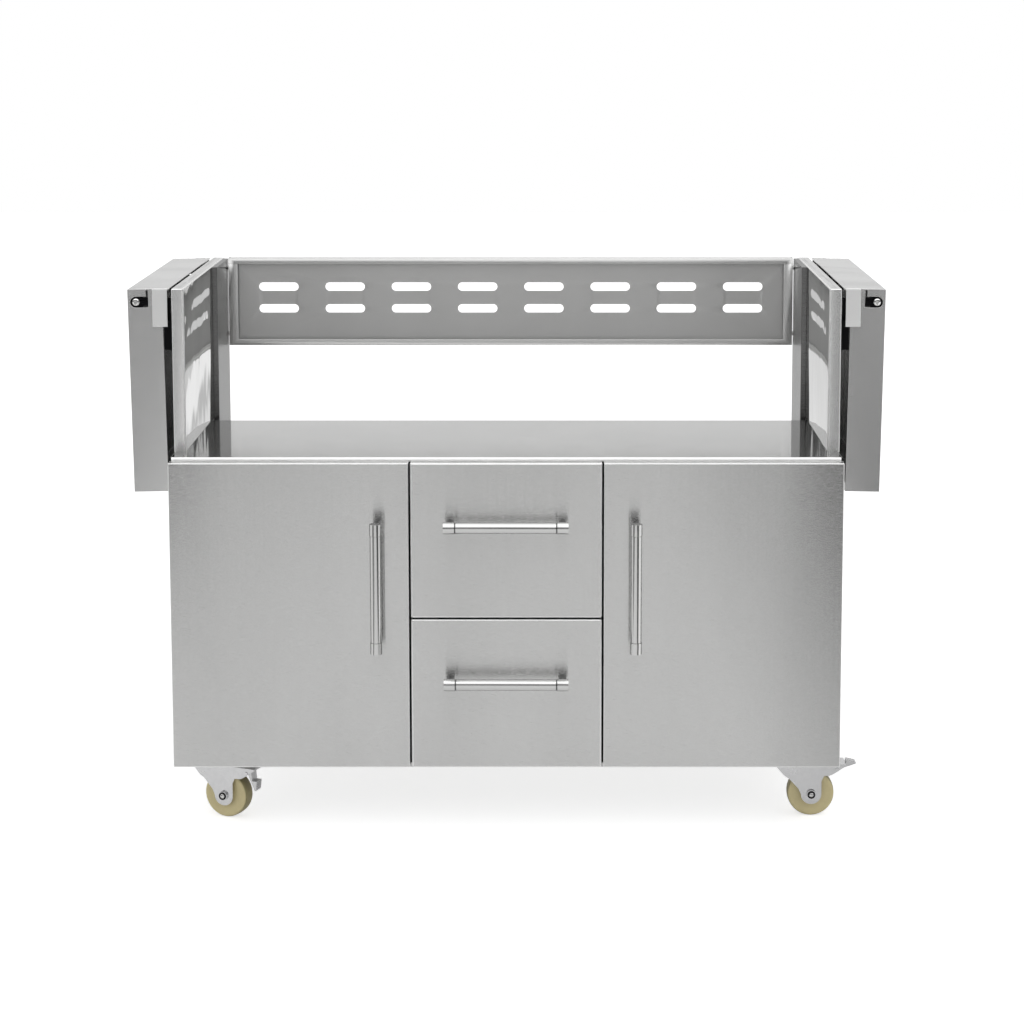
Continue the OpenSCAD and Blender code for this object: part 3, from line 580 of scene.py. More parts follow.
@dataclass(frozen=True)
class Studio:
    """Pale floor, white surroundings, soft lights and the camera.

    A span says between which directions in the room, or which X on the floor, a tone changes.
    Each of the stands gives the middle, the half width and the least tone of a dark strip.
    """

    camera_place: Point = (0.0661, -4.1698, 1.3687)
    camera_pitch: float = 0.1248
    sensor: float = 36.0
    lens: float = 84.375
    shift: Pair = (-0.0333, -0.1973)
    behind: float = 0.8
    behind_span: Pair = (-0.1, 0.55)
    beside: Pair = (0.45, 0.15)
    beside_span: Pair = (0.15, 0.7)
    overhead: Pair = (0.1, 1.8)
    overhead_span: Pair = (0.42, 0.6)
    room_light: float = 0.75
    floor_half: float = 12.0
    floor_tone: float = 0.8
    floor_roughness: float = 0.9
    floor_seen: float = 0.66
    floor_mirrored: float = 0.27
    floor_fade: Pair = (0.42, 0.7)
    floor_far_right: float = 0.5
    floor_far_span: Pair = (0.85, 1.2)
    front_box: Card = Card("front box", (0.0, -2.9, 1.55), (0.0, 0.0, 1.55), (3.6, 2.5), 1.25)
    top_box: Card = Card("top box", (0.0, 0.3, 3.4), (0.0, 0.1, 0.6), (3.0, 1.8), 1.6)
    left_flag: Card = Card("left flag", (-0.93, -2.1, 0.35), (0.0, -2.1, 0.35), (2.7, 0.7), 0.3)
    right_flag: Card = Card("right flag", (0.8, -2.1, 0.35), (0.0, -2.1, 0.35), (2.7, 0.7), 0.12)
    stands: tuple[Point, ...] = ((0.0, 0.28, 0.55), (0.41, 0.13, 0.6))
    bar_height: float = -0.33
    bar_edge: Pair = (0.26, 0.34)

    def build(self) -> None:
        """Makes the camera, world, floor and lights."""
        self._camera()
        self._world()
        self._floor()
        self._lights()
        bpy.context.scene.view_settings.view_transform = "Standard"

    def _camera(self) -> None:
        """Places the camera at the photograph's viewing angle."""
        data = bpy.data.cameras.new("camera")
        data.sensor_width = self.sensor
        data.lens = self.lens
        data.shift_x, data.shift_y = self.shift
        camera = bpy.data.objects.new("camera", data)
        camera.location = self.camera_place
        camera.rotation_euler = (math.pi / 2 - self.camera_pitch, 0.0, 0.0)
        bpy.context.scene.collection.objects.link(camera)
        bpy.context.scene.camera = camera

    def _world(self) -> None:
        """Makes a white backdrop that fades to a dimmer room in front, above and beside."""
        world = bpy.data.worlds.new("studio room")
        world.use_nodes = True
        bpy.context.scene.world = world
        graph = Graph(world.node_tree)
        world.node_tree.nodes.clear()
        axes = graph.axes(graph.add("TexCoord").outputs["Generated"])
        behind = graph.remap(axes[1], self.behind_span)
        side = graph.remap(graph.math("ABSOLUTE", axes[0]), self.beside_span, self.beside)
        above = graph.remap(axes[2], self.overhead_span, self.overhead)
        mirrored = graph.blend(behind, graph.math("MAXIMUM", side, above), self.behind)
        rays = graph.add("LightPath").outputs
        tone = graph.blend(rays["Is Diffuse Ray"], mirrored, self.room_light)
        clear = graph.math("MAXIMUM", rays["Is Camera Ray"], rays["Is Transmission Ray"])
        values = {"Color": WHITE, "Strength": graph.blend(clear, tone, 1.0)}
        graph.add("OutputWorld", {0: graph.add("Background", values).outputs[0]})

    def _floor(self) -> None:
        """Makes the white floor, which keeps the cart's shadow and mirrors dimmer at the right."""
        floor = sheet("floor", self.floor_half, self.floor_half)
        material, graph, shader = new_material("white floor")
        rays = graph.add("LightPath").outputs
        mirrored = graph.math("MAXIMUM", rays["Is Glossy Ray"], rays["Is Transmission Ray"])
        seen = graph.math("MULTIPLY", rays["Is Camera Ray"], self.floor_seen)
        across = graph.axes(graph.own_place())[0]
        near = graph.remap(across, self.floor_fade, (self.floor_mirrored, 0.0))
        far = graph.remap(across, self.floor_far_span, (0.0, self.floor_far_right))
        shade = graph.math("MAXIMUM", near, far)
        inputs = {
            "Base Color": (*[self.floor_tone] * 3, 1.0),
            "Roughness": self.floor_roughness,
            "Specular IOR Level": 0.0,
            "Emission Color": WHITE,
            "Emission Strength": graph.math("MULTIPLY_ADD", mirrored, shade, seen),
        }
        graph.feed(shader, inputs)
        floor.data.materials.append(material)

    def _lights(self) -> None:
        """Hangs soft boxes in front of and above the cart, and dark flags beside it."""
        self._hang(self.front_box, self._front_pattern)
        self._hang(self.top_box).visible_glossy = False
        for card, pattern in ((self.left_flag, None), (self.right_flag, self._flag_pattern)):
            flag = self._hang(card, pattern)
            flag.visible_diffuse = False
            flag.visible_shadow = False

    @staticmethod
    def _flag_pattern(graph: Graph) -> Socket:
        """Makes the right flag dark below and paler above."""
        return graph.remap(graph.axes(graph.own_place())[1], (-0.08, 0.08), (1.0, 3.2))

    def _front_pattern(self, graph: Graph) -> Socket:
        """Makes the front box bright above, dim below and uneven from side to side.

        Two darker upright strips and a dark level one stand for the stands and the bar before it.

        Args:
            graph: the box's material graph.

        Returns:
            The factor of its strength.
        """
        axes = graph.axes(graph.own_place())
        left = graph.remap(axes[0], (-1.25, -0.36), (0.2, 1.0))
        right = graph.remap(axes[0], (0.5, 1.0), (1.0, 0.15))
        right = graph.math("MAXIMUM", right, graph.remap(axes[0], (0.85, 1.2), (0.15, 0.8)))
        factor = graph.math("MULTIPLY", left, right)
        for middle, half, least in self.stands:
            away = graph.math("ABSOLUTE", graph.math("SUBTRACT", axes[0], middle))
            stand = graph.remap(away, (0.0, half), (least, 1.0))
            factor = graph.math("MULTIPLY", factor, stand)
        away = graph.math("ABSOLUTE", graph.math("SUBTRACT", axes[1], self.bar_height))
        factor = graph.math("MULTIPLY", factor, graph.remap(away, self.bar_edge))
        upper = graph.math("MULTIPLY", factor, graph.remap(axes[1], (0.1, 0.4), (0.62, 1.0)))
        return graph.math("MAXIMUM", upper, graph.remap(axes[1], (-0.95, -0.75), (0.55, 0.0)))

    @staticmethod
    def _hang(plan: Card, pattern: Callable[[Graph], Socket] | None = None) -> bpy.types.Object:
        """Hangs one glowing or dark card that the camera doesn't see.

        Args:
            plan: its name, place, sizes and strength.
            pattern: makes the factor by which its brightness varies.

        Returns:
            The card's object.
        """
        card = sheet(plan.name, plan.size[0] / 2, plan.size[1] / 2)
        card.location = plan.place
        way = Vector(plan.aim) - Vector(plan.place)
        card.rotation_euler = way.to_track_quat("Z", "Y").to_euler()
        card.visible_camera = False
        material = bpy.data.materials.new(plan.name)
        material.use_nodes = True
        graph = Graph(material.node_tree)
        material.node_tree.nodes.clear()
        power = graph.math("MULTIPLY", pattern(graph), plan.strength) if pattern else plan.strength
        lit = graph.add("Emission", {"Color": WHITE, "Strength": power})
        dark = graph.add("Emission", {"Color": (*[plan.back] * 3, 1.0), "Strength": 1.0})
        back = graph.add("NewGeometry").outputs["Backfacing"]
        mix = graph.add("MixShader", {0: back, 1: lit.outputs[0], 2: dark.outputs[0]})
        graph.add("OutputMaterial", {0: mix.outputs[0]})
        card.data.materials.append(material)
        return card


def mesh_piece(
    name: str, points: Sequence[Point], faces: Sequence[Sequence[int]]
) -> bpy.types.Object:
    """Makes a mesh object from points and faces.

    Args:
        name: the object's name.
        points: corners in metres.
        faces: corner numbers of each face.

    Returns:
        The linked object.
    """
    mesh = bpy.data.meshes.new(name)
    mesh.from_pydata([tuple(p) for p in points], [], [tuple(f) for f in faces])
    mesh.update()
    piece = bpy.data.objects.new(name, mesh)
    bpy.context.scene.collection.objects.link(piece)
    return piece


def sheet(name: str, half_w: float, half_h: float) -> bpy.types.Object:
    """Makes a flat rectangle about the origin."""
    signs = ((-1, -1), (1, -1), (1, 1), (-1, 1))
    return mesh_piece(name, [(x * half_w, y * half_h, 0.0) for x, y in signs], [(0, 1, 2, 3)])


def level_out(thing: bpy.types.Object, keep_sharp: bool) -> None:
    """Makes the flat faces of a smoothly shaded mesh look flat.

    Args:
        thing: the object.
        keep_sharp: whether its sharp edges stay sharp.
    """
    even = thing.modifiers.new("flat faces stay flat", "WEIGHTED_NORMAL")
    even.mode = "FACE_AREA"
    even.weight = 100
    even.keep_sharp = keep_sharp


def smooth_faces() -> bpy.types.GeometryNodeTree:
    """Gives the modifier tree that lets every face of a mesh shade smoothly.

    Returns:
        The tree, made at its first use.
    """
    name = "smooth faces"
    if name in bpy.data.node_groups:
        return bpy.data.node_groups[name]
    tree = bpy.data.node_groups.new(name, "GeometryNodeTree")
    for way in ("INPUT", "OUTPUT"):
        tree.interface.new_socket("Geometry", in_out=way, socket_type="NodeSocketGeometry")
    graph = Graph(tree)
    given = graph.add("NodeGroupInput").outputs[0]
    smooth = graph.add("GeometryNodeSetShadeSmooth", {0: given}).outputs[0]
    graph.add("NodeGroupOutput", {0: smooth})
    return tree


def soften(thing: bpy.types.Object, bevel: float, segments: int = 2) -> None:
    """Rounds a mesh's edges and shades it smoothly, with modifiers only.

    Args:
        thing: the object.
        bevel: radius of its folds, or 0 to leave them sharp.
        segments: number of faces round a fold.
    """
    smooth = thing.modifiers.new("smooth", "NODES")
    smooth.node_group = smooth_faces()
    weld = thing.modifiers.new("join corners", "WELD")
    weld.merge_threshold = SAME_CORNER
    if bevel:
        rounding = thing.modifiers.new("folds", "BEVEL")
        rounding.width = bevel
        rounding.segments = segments
        rounding.limit_method = "ANGLE"
        rounding.angle_limit = FOLD_FROM
    level_out(thing, keep_sharp=True)


class Workshop:
    """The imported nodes, the finishes, and the ways to put one on the other."""

    def __init__(self, frame: dict) -> None:
        """Builds the finishes.
        """
        self.nodes = frame["nodes"]
        self.joints = {joint["name"]: joint for joint in frame["joints"]}
        effects = Effects()
        # The shelf's end faces get a paler tone: painted light where they face the front.
        lit_shelf_end = Zone((0.6, -0.186, 0.74), (0.05, 0.003, 0.2), steel(0.76))
        slot_half, cheek_half = (0.0275, 0.0166, 0.0285), (0.0131, 0.0026, 0.034)
        # Near the pivots the shelf ends get near black painted shade, which darkens the slots'
        # insides.
        shaded_slots = (Zone((0.6045, y, 0.8735), slot_half) for y in (-0.168, 0.298))
        # The bracket cheek plates get a near white tone: painted light on their end faces.
        lit_cheeks = (Zone((0.58, y, 0.873), cheek_half, steel(0.95)) for y in (-0.19, 0.32))
        # The walls' front edges get a paler tone: painted light.
        lit_wall_end = Zone((0.55, -0.191, 0.77), (0.02, 0.003, 0.15), steel(0.86))
        # The back panel's lips get a paler tone: painted highlight.
        lit_lips = Zone((0.0, 0.2825, 0.816), (0.54, 0.002, 0.08), steel(0.8))
        shade = (0.14, 0.14, 0.14)
        posts = Zone((0.3, -0.284, 0.4), (0.4, 0.0145, 0.5), shade)
        seams = Zone((0.0835, -0.312, 0.4), (0.0012, 0.012, 0.4), shade)
        finishes = (
            SteelFinish("front steel", colour=steel(0.585)),
            SteelFinish("cabinet steel", roughness=(0.2, 0.36), shift=3.1),
            ZonedFinish("wall steel", roughness=(0.2, 0.26), shift=4.4, zones=(lit_wall_end,)),
            SteelFinish("deck steel", grain=Grain.FLAT, roughness=(0.05, 0.16),
                        wave_depth=0.0002, shift=2.3),
            SteelFinish("liner steel", roughness=(0.04, 0.06), anisotropy=0.0, grain_depth=0.0,
                        grain_contrast=0.01, wave_scale=12.0, wave_depth=0.0022,
                        wave_stretch=(1.0, 1.0, 0.7), shift=1.7, spring=0.45),
            SteelFinish("post steel", colour=(0.2, 0.2, 0.198), roughness=(0.26, 0.38),
                        anisotropy=0.0),
            ZonedFinish("back panel steel", colour=steel(0.55), roughness=(0.3, 0.42),
                        anisotropy=0.6, shift=5.2, zones=(lit_lips,)),
            ZonedFinish("shelf steel", roughness=(0.18, 0.24), shift=7.9,
                        zones=(lit_shelf_end, *shaded_slots)),
            # The brackets are near black: painted shade for the flanges in the gap beside the
            # shelf, with pale painted light on their cheek plates.
            ZonedFinish("bracket steel", colour=PAINTED_SHADE, roughness=(0.4, 0.5),
                        anisotropy=0.0, zones=tuple(lit_cheeks)),
            SteelFinish("drawer box steel", grain=Grain.DEEP, roughness=(0.28, 0.38),
                        anisotropy=0.5),
            SteelFinish("hinge steel", colour=steel(0.6), roughness=(0.26, 0.34), anisotropy=0.3),
            # Pale edge finish: painted highlight on the folds.
            PlatedFinish(HIGHLIGHT_EDGE, colour=steel(0.93), roughness=0.42, mottle=0.03),
            # Near black plate: painted shade on the frame behind the gaps between the fronts, the
            # shelf pivots and the rings round the axle nuts.
            PlatedFinish("painted shade plate", colour=(0.03, 0.03, 0.032), roughness=0.45),
            ZonedFinish("handle steel", colour=steel(0.62), roughness=(0.1, 0.14),
                        anisotropy=0.0, grain_depth=0.0, wave_depth=0.0, zones=(posts, seams)),
            PlatedFinish("fastener steel", colour=steel(0.72), roughness=0.16),
            PlatedFinish("runner zinc", colour=(0.6, 0.605, 0.61), roughness=0.3),
            PlatedFinish("caster zinc", colour=(0.66, 0.66, 0.665), roughness=0.24, mottle=0.07),
            PlatedFinish("pedal zinc", colour=(0.62, 0.62, 0.625), roughness=0.22),
            MouldedFinish("wheel plastic", (0.8, 0.7, 0.4), (0.66, 0.57, 0.31), roughness=0.42,
                          tread=(0.36, 0.31, 0.15)),
            MouldedFinish("bumper rubber", (0.02, 0.02, 0.02), (0.035, 0.035, 0.035),
                          roughness=0.7),
            MouldedFinish("catch plastic", (0.12, 0.12, 0.12), (0.08, 0.08, 0.08)),
        )
        self.materials = {finish.name: finish.build(effects) for finish in finishes}

    def dress(
        self, node: str, finish: str, bevel: float = 0.0, segments: int = 2, edge: str = ""
    ) -> None:
        """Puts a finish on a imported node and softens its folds.

        Args:
            node: the node's name.
            finish: the finish's name.
            bevel: radius of its folds, or 0 to leave them sharp.
            segments: number of faces round a fold.
            edge: finish of the folds, where they differ.
        """
        thing = self.nodes[node]
        thing.material_slots[0].material = self.materials[finish]
        soften(thing, bevel, segments)
        if edge:
            thing.data.materials.append(self.materials[edge])
            thing.modifiers["folds"].material = 1
        LOG.info("%s: %s", node, finish)

    def add(
        self, piece: bpy.types.Object, body: str, finish: str, *replaced: str, slot: str = ""
    ) -> bpy.types.Object:
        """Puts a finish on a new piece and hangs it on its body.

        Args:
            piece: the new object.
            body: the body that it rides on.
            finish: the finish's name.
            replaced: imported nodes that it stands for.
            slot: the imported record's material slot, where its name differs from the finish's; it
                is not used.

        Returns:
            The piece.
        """
        piece.data.materials.append(self.materials[finish])
        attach(piece, body)
        if replaced:
            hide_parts(*replaced)
        LOG.info("%s: %s on %s", piece.name, finish, body)
        return piece


def circle(radius: float, steps: int) -> list[Pair]:
    """Gives the points of a circle about the origin."""
    turns = (2 * math.pi * k / steps for k in range(steps))
    return [(radius * math.cos(turn), radius * math.sin(turn)) for turn in turns]


class Shape:
    """Collects points and faces of one mesh."""

    def __init__(self) -> None:
        """Starts empty."""
        self.points: list[Vector] = []
        self.faces: list[list[int]] = []

    def lathe(self, outline: Sequence[Pair], place: Matrix, steps: int) -> None:
        """Adds a closed turned body about local Z.

        Args:
            outline: radius and height of each ring; a radius of 0 closes an end.
            place: where the body goes.
            steps: number of points in a ring.
        """
        rings = []
        for radius, height in outline:
            ring = circle(radius, steps) if radius else [(0.0, 0.0)]
            rings.append(self._row([(x, y, height) for x, y in ring], place))
        for low, high in zip(rings, rings[1:]):
            self._join(low, high, steps)

    def screw_head(self, radius: float, height: float, place: Matrix) -> None:
        """Adds a domed screw head with a cross recess, its flat side at local Z of 0.

        Args:
            radius: the head's radius.
            height: the head's height.
            place: where the head goes.
        """
        steps, rings = 48, 14
        arm, reach, depth = 0.16 * radius, 0.62 * radius, 0.55 * height
        fall, roundness = 0.92, 2.4
        previous = self._row([(0.0, 0.0, height - depth)], place)
        for ring in range(1, rings + 1):
            share = ring / rings
            dome = height * math.sqrt(1.0 - fall * share**roundness)
            points = []
            for x, y in circle(share * radius, steps):
                recessed = share * radius < reach and min(abs(x), abs(y)) < arm
                points.append((x, y, dome - depth if recessed else dome))
            row = self._row(points, place)
            self._join(previous, row, steps)
            previous = row
        foot = self._row([(x, y, 0.0) for x, y in circle(radius, steps)], place)
        self._join(previous, foot, steps)
        self.faces.append(foot[::-1])

    def ball(self, radius: float, place: Matrix) -> None:
        """Adds a ball.

        Args:
            radius: the ball's radius.
            place: where its middle goes.
        """
        rings = 8
        outline = [(0.0, -radius)]
        for k in range(rings - 1, 0, -1):
            turn = math.pi * k / rings
            outline.append((radius * math.sin(turn), radius * math.cos(turn)))
        self.lathe([*outline, (0.0, radius)], place, steps=12)

    def _row(self, points: Iterable[Point], place: Matrix) -> list[int]:
        """Adds a row of points.

        Args:
            points: the points.
            place: where they go.

        Returns:
            Their numbers.
        """
        start = len(self.points)
        self.points += [place @ Vector(point) for point in points]
        return list(range(start, len(self.points)))

    def _join(self, low: Sequence[int], high: Sequence[int], steps: int) -> None:
        """Joins two rings of points with faces.

        Args:
            low: the first ring, which may be one point.
            high: the second ring, which may be one point.
            steps: number of points in a whole ring.
        """
        for k in range(steps):
            n = (k + 1) % steps
            corners = [low[k % len(low)], low[n % len(low)]]
            corners += [high[n % len(high)], high[k % len(high)]]
            self.faces.append(list(dict.fromkeys(corners)))

    def make(self, name: str, smooth_angle: float = 35.0) -> bpy.types.Object:
        """Makes the object.

        Args:
            name: the object's name.
            smooth_angle: angle in degrees up to which edges look smooth.

        Returns:
            The object, at the origin.
        """
        piece = mesh_piece(name, self.points, self.faces)
        work = bmesh.new()
        work.from_mesh(piece.data)
        bmesh.ops.recalc_face_normals(work, faces=work.faces)
        work.to_mesh(piece.data)
        work.free()
        piece.data.shade_smooth()
        piece.data.set_sharp_from_angle(angle=math.radians(smooth_angle))
        return piece


def aimed(place: Point, direction: Point) -> Matrix:
    """Gives the placement whose local Z points in a direction."""
    turned = Vector(direction).to_track_quat("Z", "Y").to_matrix().to_4x4()
    return Matrix.Translation(Vector(place)) @ turned


@dataclass(frozen=True)
class Assembly:
    """A sub-assembly, with the workshop whose nodes and finishes it uses."""

    shop: Workshop

    def build(self) -> None:
        """Makes and dresses its pieces."""
        raise NotImplementedError


@dataclass(frozen=True)
class Cabinet(Assembly):
    """The fixed sheet-metal box with its frame, dividers, hinges, runners and catches."""

    fold: float = 0.0012
    thin_fold: float = 0.0004
    cut_edge: float = 0.0003
    rail_edge: float = 0.0002
    catch_edge: float = 0.0006
    panels: tuple[str, ...] = (
        "base_pan", "left_side_panel", "right_side_panel", "lower_back_panel"
    )
    inner: tuple[str, ...] = ("left_divider", "right_divider")
    frame: tuple[str, ...] = ("front_rails", "front_stiles")

    def build(self) -> None:
        """Dresses the cabinet's nodes."""
        for node in self.panels:
            self.shop.dress(node, "cabinet steel", self.fold)
        for node in self.inner:
            self.shop.dress(node, "cabinet steel", self.thin_fold)
        # The front frame, seen through the gaps between the fronts, gets near black painted shade.
        for node in self.frame:
            self.shop.dress(node, "painted shade plate", self.cut_edge)
        self.shop.dress("rear_ledge", "deck steel", self.thin_fold)
        self.shop.dress("rear_posts", "post steel", self.fold)
        self.shop.dress("frame_hinge_leaves", "hinge steel", self.cut_edge)
        self.shop.dress("hinge_pins", "fastener steel")
        self.shop.dress("drawer_rails", "runner zinc", self.rail_edge)
        self.shop.dress("door_catches", "catch plastic", self.catch_edge)


@dataclass(frozen=True)
class GrillBay(Assembly):
    """The deck with its rolled front lip, and the walls beside it."""

    edge_x: float = 0.556
    foot_x: float = 0.5386
    front_y: float = -0.25
    foot_y: float = -0.1924
    rear_y: float = 0.114
    top_z: float = 0.63
    lip_h: float = 0.007
    gauge: float = 0.002
    bend: float = 0.0045
    bend_steps: int = 8
    wall_fold: float = 0.0016
    liner_fold: float = 0.0008

    def build(self) -> None:
        """Makes the deck and dresses the walls."""
        deck = self.shop.add(self._deck(), "cart", "deck steel", "deck")
        # The rolled front lip gets the pale edge finish: a painted highlight.
        deck.data.materials.append(self.shop.materials[HIGHLIGHT_EDGE])
        for face in deck.data.polygons[1:]:
            face.material_index = 1
        for side in ("left", "right"):
            wall = f"{side}_upper"
            self.shop.dress(f"{wall}_panel", "wall steel", self.wall_fold, 3, edge=HIGHLIGHT_EDGE)
            self.shop.dress(f"{wall}_liner", "liner steel", self.liner_fold, edge=HIGHLIGHT_EDGE)

    def _deck(self) -> bpy.types.Object:
        """Makes the deck's sheet: flat, cut round the walls' feet and rolled down in front.

        Returns:
            The deck.
        """
        start_y = self.front_y + self.bend
        outline = [(-self.edge_x, start_y), (self.edge_x, start_y), (self.edge_x, self.foot_y)]
        outline += [(self.foot_x, self.foot_y), (self.foot_x, self.rear_y)]
        outline += [(-x, y) for x, y in reversed(outline[2:])]
        points = [(x, y, self.top_z) for x, y in outline]
        faces = [tuple(range(len(points)))]
        lip = []
        for k in range(1, self.bend_steps + 1):
            turn = math.pi / 2 * k / self.bend_steps
            drop = self.bend * (1 - math.cos(turn))
            lip.append((start_y - self.bend * math.sin(turn), self.top_z - drop))
        lip.append((self.front_y, self.top_z - self.lip_h))
        left, right = 0, 1
        for y, z in lip:
            points += [(-self.edge_x, y, z), (self.edge_x, y, z)]
            faces.append((left, len(points) - 2, len(points) - 1, right))
            left, right = len(points) - 2, len(points) - 1
        deck = mesh_piece("rolled_deck", points, faces)
        gauge = deck.modifiers.new("gauge", "SOLIDIFY")
        gauge.thickness = self.gauge
        gauge.offset = -1
        deck.data.shade_smooth()
        level_out(deck, keep_sharp=False)
        return deck


@dataclass(frozen=True)
class RearPanel(Assembly):
    """The slotted panel behind the grill head, screwed to the posts through its end tabs."""

    screw_edge: float = 0.0003

    def build(self) -> None:
        """Dresses the panel and its screws."""
        self.shop.dress("back_panel", "back panel steel")
        self.shop.dress("back_screws", "fastener steel", self.screw_edge)


@dataclass(frozen=True)
class Doors(Assembly):
    """The two doors with their liners, handles and hinges."""

    fold: float = 0.0024
    liner_fold: float = 0.0008
    handle_edge: float = 0.0006
    hinge_edge: float = 0.0003

    def build(self) -> None:
        """Dresses both doors."""
        for side in ("left", "right"):
            door = f"{side}_door"
            self.shop.dress(f"{door}_skin", "front steel", self.fold, 4, edge=HIGHLIGHT_EDGE)
            self.shop.dress(f"{door}_liner", "cabinet steel", self.liner_fold)
            self.shop.dress(f"{door}_handle", "handle steel", self.handle_edge)
            self.shop.dress(f"{door}_hinges", "hinge steel", self.hinge_edge)


@dataclass(frozen=True)
class Drawers(Assembly):
    """The two drawers with their fronts, boxes, handles and runners."""

    fold: float = 0.0024
    box_fold: float = 0.0004
    handle_edge: float = 0.0006
    runner_edge: float = 0.0003

    def build(self) -> None:
        """Dresses both drawers and their runners."""
        for level in ("upper", "lower"):
            drawer = f"{level}_drawer"
            self.shop.dress(f"{drawer}_front", "front steel", self.fold, 4, edge=HIGHLIGHT_EDGE)
            self.shop.dress(f"{drawer}_box", "drawer box steel", self.box_fold)
            self.shop.dress(f"{drawer}_handle", "handle steel", self.handle_edge)
            self.shop.dress(f"{drawer}_runners", "runner zinc", self.runner_edge)
            self.shop.dress(f"{level}_mid_runners", "runner zinc", self.runner_edge)


@dataclass(frozen=True)
class Shelves(Assembly):
    """The two folding shelves with their brackets, bolts and bumpers."""

    fold: float = 0.0018
    pivot_edge: float = 0.0003
    bracket_fold: float = 0.0006
    bolt_edge: float = 0.0005
    bumper_edge: float = 0.001
    pivot_x: float = 0.62
    pivot_z: float = 0.882
    end_ys: Pair = (-0.186, 0.316)
    bolt: Pair = (0.0058, 0.0013)
    dome: tuple[Pair, ...] = (
        (0.0, 0.1), (0.36, 0.1), (0.42, 1.0), (0.62, 0.96), (0.86, 0.62), (1.0, 0.0), (0.0, 0.0)
    )
    screw_x: float = 0.5625
    screw_z: float = 0.831
    screw_ys: tuple[float, ...] = (-0.169, -0.1529, 0.299, 0.2829)
    screw_head: Pair = (0.005, 0.0025)
    screw_shank: Pair = (0.003, 0.006)

    def build(self) -> None:
        """Dresses the shelves and makes their screws and the bolts' domes."""
        for side in ("left", "right"):
            shelf = f"{side}_shelf"
            self.shop.dress(shelf, "shelf steel", self.fold, 3, edge=HIGHLIGHT_EDGE)
            # The pivots get near black painted shade.
            self.shop.dress(f"{shelf}_pivots", "painted shade plate", self.pivot_edge)
            self.shop.dress(f"{shelf}_brackets", "bracket steel", self.bracket_fold)
        self.shop.dress("shelf_bolts", "fastener steel", self.bolt_edge)
        self.shop.dress("shelf_bumpers", "bumper rubber", self.bumper_edge)
        self._screws()
        self._domes()

    def _screws(self) -> None:
        """Makes the screws that hold the brackets to the side walls."""
        screws = Shape()
        radius, length = self.screw_shank
        shank = [(0.0, 0.0), (radius, 0.0), (radius, length), (0.0, length)]
        for side in (-1, 1):
            for y in self.screw_ys:
                place = (side * self.screw_x, y, self.screw_z)
                screws.screw_head(*self.screw_head, aimed(place, (side, 0, 0)))
                screws.lathe(shank, aimed(place, (-side, 0, 0)), steps=16)
        piece = screws.make("shelf_bracket_screws")
        self.shop.add(piece, "cart", "fastener steel", "bracket_screws")

    def _domes(self) -> None:
        """Makes the domed faces of the shelf bolts, each with a round recess."""
        radius, height = self.bolt
        outline = [(r * radius, h * height) for r, h in self.dome]
        domes = Shape()
        for side in (-1, 1):
            for y, facing in zip(self.end_ys, (-1, 1)):
                place = aimed((side * self.pivot_x, y, self.pivot_z), (0, facing, 0))
                domes.lathe(outline, place, steps=32)
        self.shop.add(domes.make("shelf_bolt_domes"), "cart", "fastener steel")


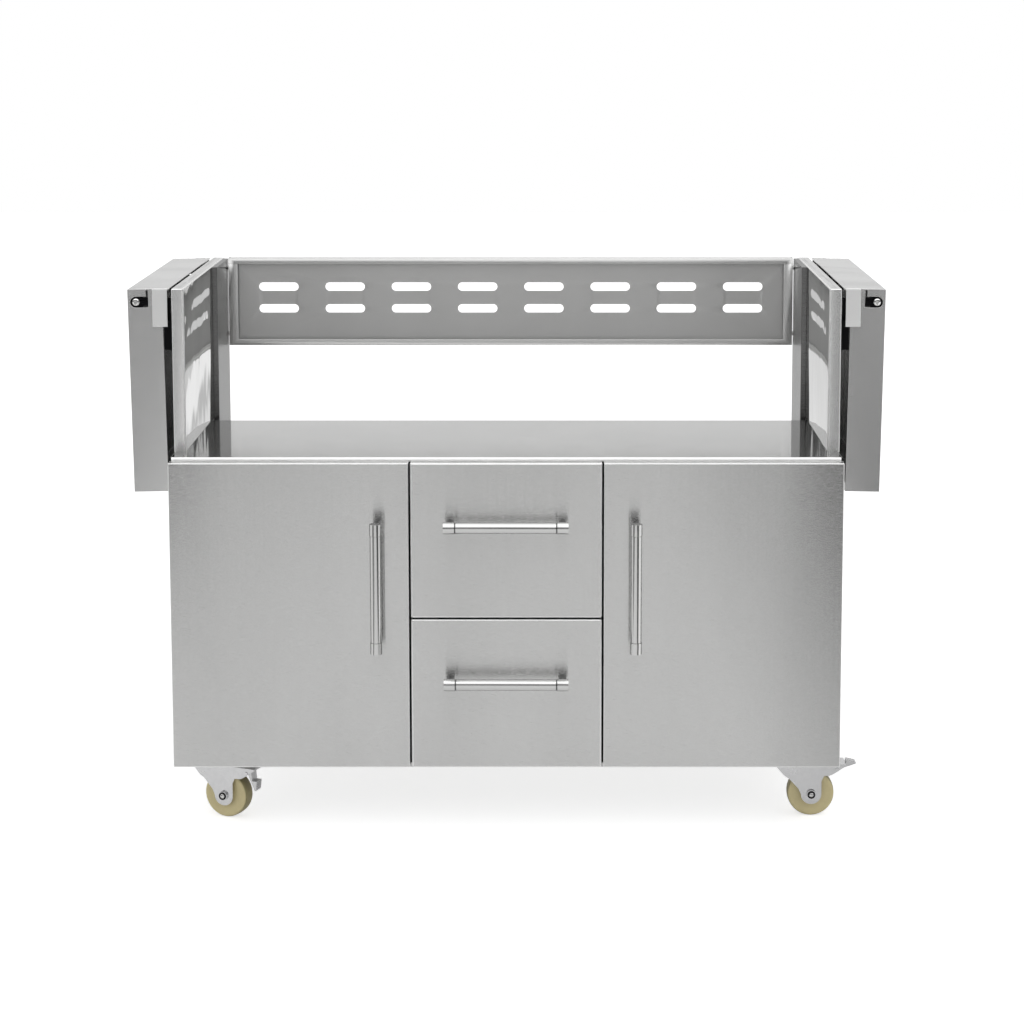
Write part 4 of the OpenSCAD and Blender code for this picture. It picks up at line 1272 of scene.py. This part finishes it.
@dataclass(frozen=True)
class Casters(Assembly):
    """The four casters: plates, ball races, forks, wheels and the front ones' pedals."""

    names: tuple[str, ...] = ("front_left", "front_right", "rear_left", "rear_right")
    fold: float = 0.0006
    pedal_edge: float = 0.0005
    wheel_r: float = 0.04
    tread_half: float = 0.014
    tread_round: float = 0.005
    round_steps: int = 6
    crown_h: float = 0.0005
    crown: tuple[Pair, ...] = ((0.0398, 0.0056), (0.04, 0.0))
    hub: Pair = (0.013, 0.0155)
    hub_chamfer: float = 0.001
    hollow: tuple[Pair, ...] = ((0.0136, 0.0118), (0.015, 0.0112), (0.028, 0.0128))
    bore: float = 0.00505
    leg_out: float = 0.0195
    nut_h: float = 0.004
    nut: tuple[Pair, ...] = (
        (0.0, 0.0028), (0.0016, 0.0026), (0.0031, 0.0019), (0.0042, 0.0006), (0.0043, 0.0),
        (0.0, 0.0),
    )
    ring: tuple[Pair, ...] = (
        (0.0045, 0.0), (0.0045, 0.0011), (0.0064, 0.0011), (0.0067, 0.0008), (0.0067, 0.0),
        (0.0045, 0.0),
    )
    ball_r: float = 0.0015
    ball_ring: float = 0.0237
    ball_z: float = 0.0954
    ball_count: int = 26

    def build(self) -> None:
        """Makes the wheels, nuts and balls, and dresses the rest."""
        self.shop.dress("caster_plates", "caster zinc", self.fold)
        balls = Shape()
        for name in self.names:
            self.shop.dress(f"{name}_fork", "caster zinc", self.fold)
            axle = self.shop.joints[f"{name}_wheel_roll"]
            self._wheel(name, axle["pos_m"], axle["axis"])
            self._nuts(name, axle["pos_m"], axle["axis"])
            swivel = self.shop.joints[f"{name}_swivel_turn"]["pos_m"]
            for x, y in circle(self.ball_ring, self.ball_count):
                place = (swivel[0] + x, swivel[1] + y, self.ball_z)
                balls.ball(self.ball_r, Matrix.Translation(place))
        self.shop.add(balls.make("race_balls", smooth_angle=60), "cart", "fastener steel")
        for name in self.names[:2]:
            self.shop.dress(f"{name}_pedal", "pedal zinc", self.pedal_edge)

    def _wheel(self, name: str, place: Point, axis: Point) -> None:
        """Makes one moulded wheel with a slightly domed side and a rounded tread.

        Args:
            name: the caster's name.
            place: middle of the wheel.
            axis: direction of its axle.
        """
        hub_r, hub_half = self.hub
        chamfer, tread = self.hub_chamfer, self.tread_round
        side = [(self.bore, 0.0), (self.bore, hub_half), (hub_r - chamfer, hub_half)]
        side += [(hub_r, hub_half - chamfer), *self.hollow]
        middle = (self.wheel_r - self.crown_h - tread, self.tread_half - tread)
        for k in range(self.round_steps + 1):
            turn = math.pi / 2 * k / self.round_steps
            side.append((middle[0] + tread * math.sin(turn), middle[1] + tread * math.cos(turn)))
        side += self.crown
        wheel = Shape()
        outline = side + [(r, -h) for r, h in reversed(side[:-1])]
        wheel.lathe(outline, aimed(ORIGIN, (0, 1, 0)), steps=96)
        piece = wheel.make(f"{name}_moulded_wheel", smooth_angle=50)
        piece.location = place
        piece.rotation_euler = (0.0, 0.0, math.atan2(-axis[0], axis[1]))
        self.shop.add(piece, f"{name}_roller", "wheel plastic", f"{name}_wheel")

    def _nuts(self, name: str, place: Point, axis: Point) -> None:
        """Makes the domed nuts, with near black rings of painted shade round them, on both ends of
        one axle.

        Args:
            name: the caster's name.
            place: middle of the wheel.
            axis: direction of its axle.
        """
        nuts, rings = Shape(), Shape()
        for side in (-1, 1):
            way = Vector(axis) * side
            end = aimed(Vector(place) + way * (self.leg_out + self.nut_h), way)
            nuts.lathe(self.nut, end, steps=40)
            rings.lathe(self.ring, end, steps=40)
        body = f"{name}_swivel"
        self.shop.add(nuts.make(f"{name}_axle_nuts"), body, "fastener steel")
        # The rings round each nut are near black painted shade.
        shade_rings = rings.make(f"{name}_axle_rings")
        self.shop.add(shade_rings, body, "painted shade plate", slot="caster_zinc")


def main() -> None:
    """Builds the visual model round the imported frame."""
    logging.basicConfig(level=logging.INFO, format="%(name)s: %(message)s")
    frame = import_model()
    Studio().build()
    shop = Workshop(frame)
    for kind in (Cabinet, GrillBay, RearPanel, Doors, Drawers, Shelves, Casters):
        kind(shop).build()
        LOG.info("%s done", kind.__name__)


if __name__ == "__main__":
    main()
